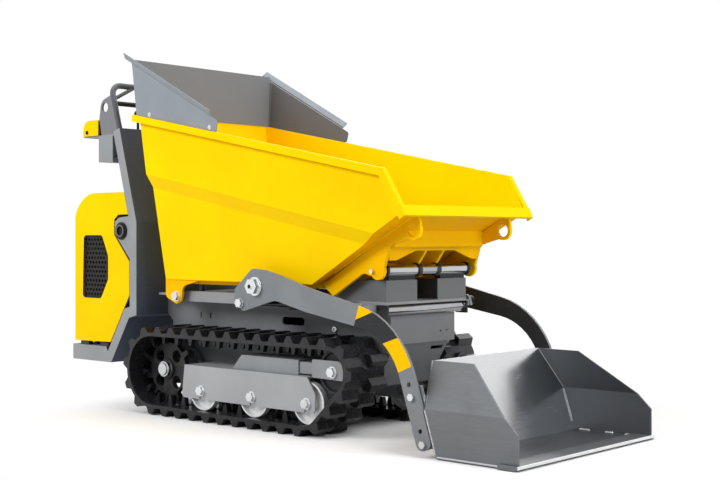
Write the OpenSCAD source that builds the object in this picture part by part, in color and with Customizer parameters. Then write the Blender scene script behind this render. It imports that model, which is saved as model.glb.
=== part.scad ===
// Tracked power carrier: rubber-track undercarriage, front-tipping skip,
// self-loading front bucket, rear engine bay and stand-behind console.
// +X points forward, +Y to the machine's left, +Z up, with the ground at z = 0. Millimetres.

/* [Track belt] */
// Distance between the centre lines of the two belts
track_gauge = 475; // [470:1:500]
// Width of the rubber belt
belt_w = 180; // [170:1:184]
// Pitch of the belt's links and lugs
link_pitch = 72; // [66:1:76]
// Thickness of the belt carcass
carcass_t = 12; // [10:0.5:14]
// Height of the outer lugs
lug_h = 22; // [16:1:26]
// Height of the inner guide lugs
guide_h = 30; // [22:1:31]
// Thickness of one guide lug across the belt
guide_w = 18; // [12:1:20]
// Gap between the two rows of guide lugs
guide_gap = 28; // [26:1:32]

/* [Wheels] */
// Teeth on the drive sprocket
sprocket_teeth = 11; // [11:1:11]
// Sprocket axle, along the machine
sprocket_x = -537; // [-560:1:-530]
// Height of the belt over the ground under the sprocket
sprocket_lift = 3; // [1:1:8]
// Thickness of the sprocket disc
sprocket_t = 20; // [14:1:22]
// Radius of the road rollers
roller_r = 68; // [64:1:70]
// Width of a road roller over its rims
roller_w = 120; // [114:1:124]
// Axle of the front road roller, along the machine
front_roller_x = 205; // [190:1:210]
// Distance between neighbouring road rollers
roller_spacing = 249; // [240:1:255]
// Radius of the idler wheel
idler_r = 70; // [66:1:74]
// Idler axle, along the machine
idler_x = 310; // [305:1:320]
// Idler axle, over the ground
idler_z = 208; // [204:1:212]
// Radius of the wheel axles
axle_r = 10; // [8:0.5:12]

/* [Track frame] */
// Plate thickness of the roller frame
frame_t = 6; // [5:0.5:8]
// Depth of the roller frame's side plates
frame_depth = 113; // [100:1:116]
// Rear end of the roller frame
frame_rear_x = -394; // [-398:1:-380]
// Rear end of the tensioner beam
beam_rear_x = -120; // [-150:1:-100]
// Height of the tensioner beam
beam_h = 48; // [44:1:50]
// Width of the tensioner beam
beam_w = 90; // [80:1:96]

/* [Chassis] */
// Width of the lower chassis box
chassis_w = 276; // [260:1:280]
// Plate thickness of the chassis box
chassis_t = 8; // [6:1:10]
// Height of the chassis floor
chassis_floor_z = 150; // [130:1:170]
// Front of the chassis box
chassis_front_x = 425; // [422:1:430]
// Top of the deck
deck_z = 424; // [420:1:428]
// Width of the deck
deck_w = 410; // [400:2:414]
// Thickness of the deck plate
deck_t = 8; // [6:1:10]
// Width of a deck rail
rail_w = 37; // [30:1:40]
// Height of a deck rail
rail_h = 37; // [32:1:40]
// Radius of the front cross bar
bar_r = 17; // [14:0.5:17.5]

/* [Skip hinge] */
// Hinge axis, along the machine
hinge_x = 440; // [436:1:444]
// Hinge axis, over the ground
hinge_z = 523; // [518:1:530]
// Radius of the hinge shaft
hinge_shaft_r = 11; // [9:0.5:12]
// Outer radius of the hinge tubes
hinge_tube_r = 18; // [16:0.5:19]

/* [Skip] */
// Half width of the skip over its rim
skip_rim_half = 332; // [330:1:336]
// How far the rim stands out over the side wall
rim_overhang = 20; // [18:1:24]
// How far the side wall goes in from the rim to the floor
skip_taper = 50; // [49:1:56]
// Depth of the side step's upper fold below the rim
skip_fold_depth = 199; // [180:1:220]
// Height of the side step
skip_step_h = 45; // [35:1:55]
// How far the side step goes in
skip_step_in = 26; // [20:1:32]
// Sheet thickness of the skip
skip_t = 4; // [3:0.5:6]
// Height of the rim at the rear
skip_rear_z = 1062; // [1040:1:1070]
// Height of the rim's front corner
skip_front_z = 830; // [820:1:845]
// Height of the floor's underside
skip_floor_z = 476; // [474:1:480]
// Height of the rim band
rim_h = 24; // [18:1:30]

/* [Spill guard] */
// Height of the guard over the rear rim
guard_h = 192; // [160:1:200]
// Length of the guard along the rim
guard_len = 446; // [420:1:460]
// Height of the guard at its front end
guard_front_h = 40; // [30:1:50]
// Outward lean of the guard's sides
guard_lean = 5; // [3:0.5:6]
// Sheet thickness of the guard
guard_t = 3; // [2:0.5:4]
// Width of the folded edge on the guard's sides
guard_flange = 14; // [10:1:18]

/* [Loader arms] */
// Arm pivot, along the machine
pivot_x = 3; // [0:1:6]
// Arm pivot, over the ground
pivot_z = 467; // [464:1:470]
// Middle plane of the arm's rear part, from the machine's centre
arm_rear_y = 328; // [327:1:331]
// Thickness of the arm plate
arm_t = 12; // [8:1:12]
// Width of the arm's lower leg
leg_w = 53; // [48:1:56]
// Radius of the pivot pins
pin_r = 16; // [14:0.5:18]
// Distance from the arm pivot to the lift cylinder's pin
crank_r = 90; // [86:1:94]

/* [Bucket] */
// Half width of the bucket's lower part
bucket_half = 361; // [359:1:364]
// Half width of the bucket's top edge
bucket_top_half = 277; // [260:1:290]
// Height of the bucket
bucket_h = 268; // [250:1:280]
// Height of the fold in the bucket's sides
bucket_fold_z = 139; // [125:1:150]
// Front edge of the bucket's sides
bucket_front_x = 1046; // [1030:1:1060]
// Rear edge of the bucket's floor
bucket_rear_x = 768; // [766:1:774]
// Plate thickness of the bucket
bucket_t = 5; // [4:0.5:6]
// Depth of the cutting edge
edge_depth = 67; // [50:1:90]
// Thickness of the cutting edge
edge_t = 14; // [10:1:18]

/* [Rear frame and hood] */
// Half width of the rear frame
rear_half = 285; // [280:1:288]
// Front face of the tower
tower_x = -670; // [-674:1:-668]
// Top of the tower
tower_top_z = 1025; // [1010:1:1035]
// How far the tower's top leans to the rear
tower_lean = 98; // [90:1:104]
// Depth of the tower's side flanges
tower_flange = 38; // [34:1:42]
// Sheet thickness of the rear frame
rear_t = 6; // [5:0.5:8]
// Rear end of the base tray
tray_rear_x = -1052; // [-1060:1:-1050]
// Underside of the base tray
tray_z = 163; // [155:1:170]
// Height of the base tray's sides
tray_h = 57; // [52:1:60]
// Top of the hood
hood_top_z = 790; // [770:1:800]
// Sheet thickness of the hood
hood_t = 4; // [3:0.5:5]
// Radius of the hood's upper rear edge
hood_edge_r = 135; // [110:1:150]

/* [Controls] */
// Radius of the handle tube
handle_r = 11; // [9:0.5:13]
// Top of the handle
handle_z = 1200; // [1185:1:1210]
// Length of a control lever
lever_len = 78; // [70:1:80]
// Radius of a lever's knob
knob_r = 15; // [12:0.5:18]

/* [Cylinders] */
// Outer radius of the tip cylinder
tip_barrel_r = 28; // [24:1:30]
// Radius of the tip cylinder's rod
tip_rod_r = 15; // [12:0.5:16]
// Outer radius of a lift cylinder
lift_barrel_r = 15; // [13:0.5:16]
// Radius of a lift cylinder's rod
lift_rod_r = 9; // [7:0.5:10]

/* [Clearances] */
// Radial running clearance of a shaft in its bore
run_gap = 0.05; // [0.02:0.01:0.09]
// Gap between neighbouring moving faces
face_gap = 2; // [1.5:0.1:2.5]
// Gap between a wheel's rim and the belt
belt_seat = 0.6; // [0.5:0.05:0.8]

/* [Hidden] */
$fn = 64;
eps = 0.01;

// Paint and metal colours
yellow = [1, 0.8, 0];
grey = [0.5, 0.51, 0.52];
dark = [0.22, 0.23, 0.24];
black = [0.06, 0.06, 0.06];
zinc = [0.8, 0.81, 0.82];
steel = [0.42, 0.43, 0.44];

// Track geometry
track_y = track_gauge / 2;
cord = carcass_t / 2;
sprocket_r = sprocket_teeth * link_pitch / (2 * PI);
sprocket_z = lug_h + cord + sprocket_r + sprocket_lift;
roller_z = lug_h + carcass_t + belt_seat + roller_r;
roller_x = [for (i = [0:2]) front_roller_x - i * roller_spacing];
roller_hub_r = roller_r - guide_h - 5;
rim_y = guide_gap / 2 + guide_w + 6;
frame_half = roller_w / 2 + face_gap + frame_t;
frame_top = roller_z + roller_r + 16;
frame_bottom = frame_top - frame_depth;
frame_front_x = front_roller_x + 37;

// Belt path: sprocket, idler, front roller and rear roller, each as [x, z, cord radius]
seat = cord + belt_seat;
pulleys = [[sprocket_x, sprocket_z, sprocket_r], [idler_x, idler_z, idler_r + seat],
    [roller_x[0], roller_z, roller_r + seat], [roller_x[2], roller_z, roller_r + seat]];
function normal_angle(a, b) = let (d = [b.x - a.x, b.y - a.y])
    atan2(d.y, d.x) + acos((a.z - b.z) / norm(d));
function run_length(a, b) = sqrt(pow(b.x - a.x, 2) + pow(b.y - a.y, 2) - pow(a.z - b.z, 2));
run_angle = [for (i = [0:3]) normal_angle(pulleys[i], pulleys[(i + 1) % 4])];
function wrap(a) = a - 360 * floor(a / 360);
// Lengths of the path's pieces: a straight run, then the arc round the next wheel, four times over
piece_len = [for (i = [0:3]) let (j = (i + 1) % 4)
    each [run_length(pulleys[i], pulleys[j]), wrap(run_angle[i] - run_angle[j]) * PI / 180 * pulleys[j].z]];
piece_start = [for (i = 0, s = 0; i <= 8; s = s + (i < 8 ? piece_len[i] : 0), i = i + 1) s];
belt_len = piece_start[8];
link_count = round(belt_len / link_pitch);
link_len = belt_len / link_count;
function piece_at(s, i = 7) = s >= piece_start[i] || i == 0 ? i : piece_at(s, i - 1);
// Point of the belt at path length s and outward offset o
function belt_point(s, o) = let (u = s - belt_len * floor(s / belt_len), k = piece_at(u),
    t = u - piece_start[k], i = floor(k / 2), p = pulleys[k % 2 == 0 ? i : (i + 1) % 4],
    a = k % 2 == 0 ? run_angle[i] : run_angle[i] - t / p.z * 180 / PI,
    along = k % 2 == 0 ? t : 0)
    [p.x + (p.z + o) * cos(a) + along * sin(a), p.y + (p.z + o) * sin(a) - along * cos(a)];
// One side of the belt: per link a list of [share of the link, outward offset]
function belt_line(teeth, phase) = [for (n = [0:link_count - 1]) for (q = teeth)
    belt_point((n + phase + q[0]) * link_len, q[1])];

lug_profile = [[-0.30, cord], [-0.12, cord + lug_h], [0.12, cord + lug_h], [0.30, cord],
    [0.43, cord], [0.57, cord]];
guide_profile = [[-0.17, -cord], [-0.07, -cord - guide_h], [0.07, -cord - guide_h], [0.17, -cord],
    [0.34, -cord], [0.5, -cord], [0.66, -cord]];
groove_depth = carcass_t * 2 / 3;
function flat_profile(o) = [for (i = [0:6]) [i / 7, o]];

// Chassis geometry
chassis_half = chassis_w / 2;
deck_half = deck_w / 2;
deck_under = deck_z - deck_t;
rail_top = deck_z + 12;
rail_out = deck_half - 10 + rail_w;
rail_rear_x = -467;
rail_front_x = 200;
chassis_rear_x = -640;
bar_x = hinge_x - 9;
bar_z = deck_under - bar_r - 1;
pedestal_rear_x = hinge_x - 200;
pedestal_front_x = hinge_x + 7;
pedestal_top = hinge_z - 31;
pedestal_in = 52;
pedestal_out = 203;
bracket_y = [arm_rear_y - arm_t / 2 - 49, arm_rear_y - arm_t / 2 - 38];
arm_in = arm_rear_y - arm_t / 2;
arm_out = arm_rear_y + arm_t / 2;

// Lift cylinder: its pin on the arm, and its other end's bracket on the deck
crank_angle = -141.3;
lift_pin = [pivot_x + crank_r * cos(crank_angle), pivot_z + crank_r * sin(crank_angle)];
lift_base = [385, 412];
lift_y = bracket_y[1] + 4 + lift_barrel_r;
lift_axis = lift_base - lift_pin;
lift_len = norm(lift_axis);
lift_angle = atan2(lift_axis.y, lift_axis.x);
lift_barrel_len = 250;
lift_rod_len = lift_len - lift_barrel_len + 69;

// Tip cylinder: its pin under the skip, and its other end in the chassis
tip_pin = [215, skip_floor_z - 24];
tip_base = [-130, chassis_floor_z + 55];
tip_axis = tip_pin - tip_base;
tip_len = norm(tip_axis);
tip_angle = atan2(tip_axis.y, tip_axis.x);
tip_barrel_len = 300;
tip_rod_len = tip_len - 44;
tip_eye_w = tip_rod_r * 2;
tip_lug_y = tip_eye_w / 2 + face_gap;

// Skip geometry
skip_wall_half = skip_rim_half - rim_overhang;
skip_floor_half = skip_wall_half - skip_taper;
rim_rear = [-633, skip_rear_z];
rim_front = [542, skip_front_z];
rim_angle = atan2(rim_rear.y - rim_front.y, rim_front.x - rim_rear.x);
rim_slope = (rim_rear.y - rim_front.y) / (rim_front.x - rim_rear.x);
lip = [609, 706];
chute_x = 198;
floor_rear_x = -527;
skip_rear_x = rim_rear.x + 16;
function rim_z(x) = rim_rear.y - (x - rim_rear.x) * rim_slope;
chute_slope = (lip.y - skip_floor_z) / (lip.x - chute_x);
ear_y = skip_floor_half - 8;
gusset_y = [225, 237];
inner_gusset_y = [40, 50];
shaft_end = gusset_y[0] + 6;
collar_r = 22;
// Corners of the skip's side view: rear top, rear bottom, floor front, lip, front top
skip_side = [[skip_rear_x, rim_z(skip_rear_x)], [floor_rear_x, skip_floor_z], [chute_x, skip_floor_z], lip,
    [rim_front.x - 2, rim_z(rim_front.x - 2)]];
fold_half = skip_wall_half - 4;
// Half of the skip's cross-section, square to the rim: [half width, height from the rim]
skip_section = [[skip_wall_half + 1, 60], [skip_wall_half, 0], [fold_half, -skip_fold_depth],
    [fold_half - skip_step_in, -skip_fold_depth - skip_step_h], [skip_floor_half - 4, -700]];

// Arm geometry: the middle plane of its front part runs beside the bucket
arm_y = bucket_half - 1;
arm_bend = [110, 262];
leg_slope = (bucket_rear_x - 682) / bucket_h;
function back_x(z) = bucket_rear_x - z * leg_slope;
leg_dir = [leg_slope, -1] / norm([leg_slope, -1]);
leg_front = [back_x(225) - 4, 225];
leg_foot = leg_front + 206 * leg_dir;
leg_side = [-leg_dir.y, leg_dir.x] * leg_w;
leg_bolts = [for (d = [50, 188]) leg_front - leg_side / 2 + d * leg_dir];
leg_holes = [for (d = [14, 150]) leg_front - leg_side / 2 + d * leg_dir];
arm_outline = [[-96, 455], [-14, 524], [44, 520], [638, 388], leg_foot, leg_foot - leg_side,
    [598, 339], [88, 424], [-62, 382], [-98, 424]];
arm_radii = [18, 20, 30, 285, 22, 22, 200, 70, 26, 22];

// Bucket side view: rear bottom, front bottom, front, fold, top front, top rear
bucket_z = 1;
bucket_side = [[bucket_rear_x, bucket_z], [bucket_front_x, bucket_z], [bucket_front_x, 95],
    [bucket_front_x - 47, bucket_fold_z], [835, bucket_h], [back_x(bucket_h), bucket_h]];
edge_front_x = bucket_front_x + 6;

// Rear frame side view, along the front of the sheet from the tower's top to the tray
tower_kink_z = 680;
tower_foot_z = 343;
belly_x = -818;
rear_path = [[tower_x - tower_lean, tower_top_z], [tower_x, tower_kink_z], [tower_x, tower_foot_z],
    [tower_x - 43, tower_foot_z - 11], [belly_x, tray_z], [tray_rear_x, tray_z]];
tray_top = tray_z + tray_h;
hood_gap = 3;
hood_bottom = tray_top + 14;
hood_hinge = [tray_rear_x + 12, tray_top + 10];
hood_rear_x = tray_rear_x + 4;
port_pos = [-754, 648];
port_lug = [[tower_x - tower_flange, 702], [-770, 697], [-794, 682], [-794, 637],
    [tower_x - tower_flange, 546]];
console_z = 1004;
tower_top_x = tower_x - tower_lean;

// Polygon with its corners rounded, each by its own radius
function unit(v) = v / norm(v);
function corner(p, q, r, radius) = let (u = unit(p - q), v = unit(r - q), half = acos(u * v) / 2,
    cut = radius / tan(half), centre = q + unit(u + v) * radius / sin(half),
    a = q + u * cut - centre, b = q + v * cut - centre, a0 = atan2(a.y, a.x),
    sweep = wrap(atan2(b.y, b.x) - a0 + 180) - 180, steps = max(2, ceil(abs(sweep) / 7.5)))
    [for (i = [0:steps]) centre + radius * [cos(a0 + sweep * i / steps), sin(a0 + sweep * i / steps)]];
function rounded(pts, radii) = let (n = len(pts)) [for (i = [0:n - 1])
    each radii[i] > 0 ? corner(pts[(i + n - 1) % n], pts[i], pts[(i + 1) % n], radii[i]) : [pts[i]]];
// Where two lines meet, each given by a point and a direction
function meet(p, u, q, v) = p + u * ((q.x - p.x) * v.y - (q.y - p.y) * v.x) / (u.x * v.y - u.y * v.x);
function left_of(u) = [-u.y, u.x];
// Open path moved to its left by a distance
function beside(p, d) = let (n = len(p), u = [for (i = [0:n - 2]) unit(p[i + 1] - p[i])])
    [for (i = [0:n - 1]) i == 0 ? p[0] + left_of(u[0]) * d
        : i == n - 1 ? p[i] + left_of(u[n - 2]) * d
        : meet(p[i] + left_of(u[i - 1]) * d, u[i - 1], p[i] + left_of(u[i]) * d, u[i])];
function reversed(p) = [for (i = [len(p) - 1:-1:0]) p[i]];
function strip(p, d) = concat(p, reversed(beside(p, d)));
// Closed outline with each edge moved to its left by its own distance
function inset(p, d) = let (n = len(p), u = [for (i = [0:n - 1]) unit(p[(i + 1) % n] - p[i])])
    [for (i = [0:n - 1]) let (h = (i + n - 1) % n)
        meet(p[i] + left_of(u[h]) * d[h], u[h], p[i] + left_of(u[i]) * d[i], u[i])];

// Shapes shared by the sub-parts
module xz(y0, y1) translate([0, y1, 0]) rotate([90, 0, 0]) linear_extrude(y1 - y0) children();
module at(p, y = 0) translate([p.x, y, p.y]) children();
module ycyl(r, y0, y1) translate([0, y0, 0]) rotate([-90, 0, 0]) cylinder(r = r, h = y1 - y0);
module both() { children(); mirror([0, 1, 0]) children(); }
module right() mirror([0, 1, 0]) children();
module box(a, b) translate(a) cube(b - a);
module hex_head(y0, y1, flats) translate([0, y0, 0]) rotate([-90, 0, 0])
    cylinder(r = flats / sqrt(3), h = y1 - y0, $fn = 6);

// Rubber belt: slices across its width, each with its own lugs outside and guides inside
module belt_slice(y0, y1, outer, outer_phase, inner)
    xz(y0, y1) difference() {
        polygon(belt_line(outer, outer_phase));
        polygon(belt_line(inner, 0));
    }
module track_belt() color(black) translate([0, track_y, 0]) {
    half = belt_w / 2;
    guide_in = guide_gap / 2;
    guide_out = guide_in + guide_w;
    plain = flat_profile(-cord);
    belt_slice(-half, -guide_out, lug_profile, 0, plain);
    belt_slice(-guide_out, -guide_in, lug_profile, 0, guide_profile);
    belt_slice(-guide_in, guide_in, flat_profile(cord), 0, flat_profile(-cord + groove_depth));
    belt_slice(guide_in, guide_out, lug_profile, 0.5, guide_profile);
    belt_slice(guide_out, half, lug_profile, 0.5, plain);
}

// Inverted channel that carries the road rollers, with stubs to the chassis
module track_frame() color(grey) {
    plate = rounded([[frame_rear_x, frame_bottom], [frame_front_x, frame_bottom],
        [frame_front_x, frame_bottom + 62], [frame_front_x - 35, frame_top], [frame_rear_x + 14, frame_top]],
        [12, 16, 8, 0, 0]);
    translate([0, track_y, 0]) difference() {
        union() {
            for (y = [-frame_half, frame_half - frame_t]) xz(y, y + frame_t) polygon(plate);
            box([frame_rear_x + 14, frame_t - frame_half - eps, frame_top - frame_t],
                [frame_front_x - 35, frame_half - frame_t + eps, frame_top]);
        }
        for (x = roller_x) translate([x, 0, roller_z]) {
            ycyl(axle_r, -frame_half - 1, frame_half + 1);
            box([-axle_r, -frame_half - 1, -frame_depth], [axle_r, frame_half + 1, 0]);
        }
    }
    for (x = [roller_x[1] + 125, roller_x[2] + 125])
        box([x - 40, chassis_half, chassis_floor_z], [x + 40, track_y - frame_half, frame_top - frame_t]);
}

// Box beam on the roller frame, which holds the tensioner
beam_front_x = idler_x - 163;
beam_wall = 5;
slide_in = 0.3;
module tension_beam() color(grey) translate([0, track_y, 0]) {
    difference() {
        box([beam_rear_x, -beam_w / 2, frame_top], [beam_front_x, beam_w / 2, frame_top + beam_h]);
        box([beam_rear_x + beam_wall, -beam_w / 2 + beam_wall, frame_top + beam_wall],
            [beam_front_x + 1, beam_w / 2 - beam_wall, frame_top + beam_h - beam_wall]);
    }
    for (y = [-beam_w / 2 + 4, beam_w / 2 - 12])
        xz(y, y + 8) polygon([[beam_rear_x - 46, frame_top], [beam_rear_x, frame_top],
            [beam_rear_x, frame_top + beam_h - 6], [beam_rear_x - 8, frame_top + beam_h - 6]]);
}

// Sliding fork that carries the idler
fork_in = 53;
fork_t = 8;
module idler_fork() color(grey) translate([0, track_y, 0]) {
    bar = beam_w / 2 - beam_wall - slide_in;
    bar_low = frame_top + beam_wall + slide_in;
    bar_high = frame_top + beam_h - beam_wall - slide_in;
    block_x = idler_x - idler_r - 4;
    cheek = rounded([[block_x - 14, bar_low - 6], [idler_x + 49, bar_low - 9], [idler_x + 49, idler_z + 35],
        [block_x - 14, idler_z + 35]], [4, 14, 32, 4]);
    box([beam_front_x - 80, -bar, bar_low], [block_x, bar, bar_high]);
    box([block_x - 14, -fork_in, bar_low], [block_x, fork_in, bar_high]);
    difference() {
        for (y = [-fork_in - fork_t, fork_in]) xz(y, y + fork_t) polygon(cheek);
        at([idler_x, idler_z]) ycyl(axle_r, -fork_in - fork_t - 1, fork_in + fork_t + 1);
    }
}

// Fixed axles of the three rollers and the idler, with hexagon heads
head_t = 11;
module wheel_axle(half) {
    ycyl(axle_r, -half, half);
    for (s = [0, 1]) mirror([0, s, 0]) {
        ycyl(axle_r + 9, half, half + 3);
        hex_head(half + 3, half + 3 + head_t, 28);
    }
}
module track_axles() color(zinc) translate([0, track_y, 0]) {
    for (x = roller_x) at([x, roller_z]) wheel_axle(frame_half);
    at([idler_x, idler_z]) wheel_axle(fork_in + fork_t);
}

// Hydraulic wheel motor bolted to the chassis, with the sprocket's shaft
motor_face = track_y - sprocket_t / 2 - 12;
shaft_r = 20;
motor_flange_r = 72;
hub_half = sprocket_t / 2 + 8;
module drive_motor() color(dark) at([sprocket_x, sprocket_z]) {
    ycyl(motor_flange_r, chassis_half, chassis_half + 14);
    ycyl(56, chassis_half + 14 - eps, motor_face - 12);
    ycyl(44, motor_face - 12 - eps, motor_face);
    ycyl(shaft_r, motor_face - eps, track_y + hub_half);
    for (a = [45:90:315]) rotate([0, a, 0]) translate([motor_flange_r - 9, 0, 0])
        hex_head(chassis_half + 14 - eps, chassis_half + 22, 12);
}

// Drive sprocket: disc with rounded teeth, lightening holes and a capped hub
tooth_r = 10;
tooth_tip = sprocket_r - 1;
module sprocket() color(black) at([sprocket_x, sprocket_z], track_y) difference() {
    tooth = [[60, -12], [tooth_tip - 12, -tooth_r], [tooth_tip - 3, -tooth_r * 0.7],
        [tooth_tip, -tooth_r * 0.3]];
    union() {
        xz(-sprocket_t / 2, sprocket_t / 2) difference() {
            union() {
                circle(tooth_tip - 30);
                for (i = [0:sprocket_teeth - 1]) rotate(i * 360 / sprocket_teeth)
                    polygon(concat(tooth, reversed([for (p = tooth) [p.x, -p.y]])));
            }
            for (a = [45:90:315]) rotate(a) translate([64, 0]) circle(22);
        }
        ycyl(36, -hub_half, hub_half);
        ycyl(28, hub_half - eps, hub_half + 14);
        ycyl(22, hub_half + 14 - eps, hub_half + 20);
    }
    ycyl(shaft_r + run_gap, -hub_half - 1, hub_half + run_gap);
}

// Spool-shaped road roller with dished faces
module roller(i) color(zinc) at([roller_x[i], roller_z], track_y) rotate([-90, 0, 0]) {
    half = roller_w / 2;
    side = [[axle_r + run_gap, half], [26, half], [30, half - 10], [roller_r - 9, half - 16],
        [roller_r - 6, half], [roller_r, half], [roller_r, rim_y], [roller_hub_r, rim_y - 4]];
    rotate_extrude() polygon(concat(side, reversed([for (p = side) [p.x, -p.y]])));
}

// Idler: two rims joined by a hub that the guide lugs pass over
module idler() color(black) at([idler_x, idler_z], track_y) rotate([-90, 0, 0]) {
    half = fork_in - face_gap;
    side = [[axle_r + run_gap, half], [24, half], [28, half - 8], [idler_r - 12, half - 10],
        [idler_r - 8, half - 2], [idler_r, half - 2], [idler_r, rim_y - 2],
        [idler_r - guide_h - 7, rim_y - 6]];
    rotate_extrude() polygon(concat(side, reversed([for (p = side) [p.x, -p.y]])));
}

// Lower chassis: side plates, floor, sloping front, front panel and rear plate
belly_front_x = chassis_front_x - 80;
panel_low = chassis_floor_z + 139;
panel_top = bar_z - bar_r - 1;
module obround(x0, x1, z0, z1) {
    r = (z1 - z0) / 2;
    for (x = [x0 + r, x1 - r]) translate([x, z0 + r]) circle(r);
    translate([x0 + r, z0]) square([x1 - x0 - 2 * r, z1 - z0]);
}
module chassis_box() color(dark) {
    side = [[chassis_rear_x, chassis_floor_z], [belly_front_x, chassis_floor_z], [chassis_front_x, panel_low],
        [chassis_front_x, panel_top], [bar_x - bar_r - 3, panel_top], [bar_x - bar_r - 3, deck_under],
        [tower_x, deck_under], [tower_x, tower_foot_z + 4],
        [chassis_rear_x, tower_foot_z - 25]];
    both() xz(chassis_half - chassis_t, chassis_half) difference() {
        union() {
            polygon(side);
            translate([sprocket_x, sprocket_z]) circle(motor_flange_r + 6);
        }
        obround(-71, 34, 330, 357);
        for (x = [-484, -433]) translate([x, 346]) rotate(90) obround(-11, 11, -3, 3);
    }
    inner = chassis_half - chassis_t + eps;
    difference() {
        xz(-inner, inner) polygon(strip([[chassis_rear_x, chassis_floor_z], [belly_front_x, chassis_floor_z],
            [chassis_front_x, panel_low], [chassis_front_x, panel_low + 20]], chassis_t));
        box([belly_front_x, 60, panel_low - 27], [chassis_front_x - 2, 122, panel_low - 16]);
    }
    box([chassis_rear_x, -inner, chassis_floor_z + chassis_t],
        [chassis_rear_x + chassis_t, inner, deck_under]);
    difference() {
        box([chassis_front_x - eps, -162, panel_low], [chassis_front_x + 6, 162, panel_top]);
        for (y = [88, 122]) translate([chassis_front_x - 1, y, panel_low + 33]) rotate([0, 90, 0])
            cylinder(r = 3.5, h = 9);
    }
    both() box([tip_base.x - 40, 42, chassis_floor_z + chassis_t - eps],
        [tip_base.x + 20, 50, tip_base.y + 25]);
}

// Deck weldment: plate, rails, skirts, hinge pedestals and tubes, arm and cylinder brackets
deck_slot_x = -80;
tube_in = pedestal_in + 4;
tube_out = pedestal_out - 3;
module upper_deck() color(grey) {
    difference() {
        box([chassis_rear_x, -deck_half, deck_under], [pedestal_front_x, deck_half, deck_z]);
        box([deck_slot_x, -pedestal_in + 8, deck_under - 1], [pedestal_rear_x, pedestal_in - 8, deck_z + 1]);
    }
    both() {
        box([rail_rear_x, deck_half - 10, rail_top - rail_h], [rail_front_x, rail_out, rail_top]);
        box([rail_front_x - eps, deck_half - 8, deck_under - 35], [bar_x - 24, deck_half, deck_under + eps]);
        xz(pedestal_in, pedestal_out) polygon([[pedestal_rear_x, deck_z - eps],
            [pedestal_front_x, deck_z - eps], [pedestal_front_x, pedestal_top],
            [pedestal_rear_x + 70, pedestal_top], [pedestal_rear_x, pedestal_top - 26]]);
        difference() {
            union() {
                at([hinge_x, hinge_z]) ycyl(hinge_tube_r, tube_in, tube_out);
                box([hinge_x - 14, tube_in + 8, pedestal_top - eps], [hinge_x + 8, tube_out - 8, hinge_z]);
            }
            at([hinge_x, hinge_z]) ycyl(hinge_shaft_r + run_gap, tube_in - 1, tube_out + 1);
        }
        box([pivot_x - 40, rail_out - eps, rail_top - rail_h], [pivot_x + 40, bracket_y[1], rail_top - 8]);
        xz(bracket_y[0], bracket_y[1]) polygon(rounded([[pivot_x - 52, rail_top - rail_h],
            [pivot_x + 52, rail_top - rail_h], [pivot_x + 36, pivot_z + 32], [pivot_x - 36, pivot_z + 32]],
            [0, 0, 30, 30]));
        at([pivot_x, pivot_z]) ycyl(30, bracket_y[1] - eps, arm_in - face_gap);
        box([lift_base.x - 24, deck_half - eps, lift_base.y - 16],
            [lift_base.x + 24, bracket_y[1], deck_under]);
        xz(bracket_y[0], bracket_y[1]) polygon(rounded([[lift_base.x - 30, lift_base.y - 16],
            [lift_base.x + 30, lift_base.y - 16], [lift_base.x + 20, lift_base.y + 20],
            [lift_base.x - 20, lift_base.y + 20]], [0, 0, 16, 16]));
        at(lift_base) ycyl(12, bracket_y[1] - eps, lift_y - lift_barrel_r - 1.5);
    }
}

// Round cross bar under the deck's front edge, with square end plates
module cross_bar() color(steel) {
    at([bar_x, bar_z]) ycyl(bar_r, -deck_half + 8, deck_half - 8);
    both() box([bar_x - 23, deck_half - 8 - eps, bar_z - 22], [bar_x + 23, deck_half, deck_under]);
}

// Rubber pads under the skip's frame and under the hood
beam_y = [deck_half - 10, rail_out - 8];
skip_beam_z = skip_floor_z - 15;
module rubber_buffers() color(black) both() {
    for (x = [-400, -170, 150]) translate([x, (beam_y[0] + beam_y[1]) / 2, rail_top])
        cylinder(r = 13, h = skip_beam_z - rail_top);
    for (x = [-980, -860]) box([x - 24, rear_half - 20, tray_top], [x + 24, rear_half - 1, hood_bottom]);
}

// Pivot pins of the loader arms, with washers and nuts
module arm_pivot_pins() color(zinc) both() at([pivot_x, pivot_z]) {
    ycyl(pin_r, arm_in - face_gap, arm_out + 24);
    ycyl(pin_r + 15, arm_out + 0.5, arm_out + 5);
    hex_head(arm_out + 5 - eps, arm_out + 24, 46);
    ycyl(pin_r - 6, arm_out + 24 - eps, arm_out + 28);
}

// Folded rear frame: tower front, belly and tray in one sheet, with side flanges
module rear_frame() color(grey) {
    flange = [for (i = [0:4]) rear_path[i]];
    xz(-rear_half + rear_t - eps, rear_half - rear_t + eps) polygon(strip(rear_path, -rear_t));
    both() xz(rear_half - rear_t, rear_half) {
        polygon(strip(flange, -tower_flange));
        polygon(concat([[belly_x - 30, tray_top]], [rear_path[4], rear_path[5]], [[tray_rear_x, tray_top]]));
        polygon(concat([for (p = port_lug) p], [[tower_x - rear_t, 546], [tower_x - rear_t, 702]]));
    }
    box([tray_rear_x, -rear_half + rear_t - eps, tray_z],
        [tray_rear_x + rear_t, rear_half - rear_t + eps, tray_top]);
    both() {
        box([tray_rear_x + rear_t, rear_half - 45, tray_top - rear_t],
            [belly_x - 30, rear_half - rear_t + eps, tray_top]);
        difference() {
            union() {
                at(hood_hinge) ycyl(7, 160, 188);
                box([tray_rear_x + rear_t - eps, 160, tray_top - 12], [hood_hinge.x + 7, 188, hood_hinge.y]);
            }
            at(hood_hinge) ycyl(4, 159, 189);
        }
        at(hood_hinge) ycyl(4, 146, 202);
    }
}

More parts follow.
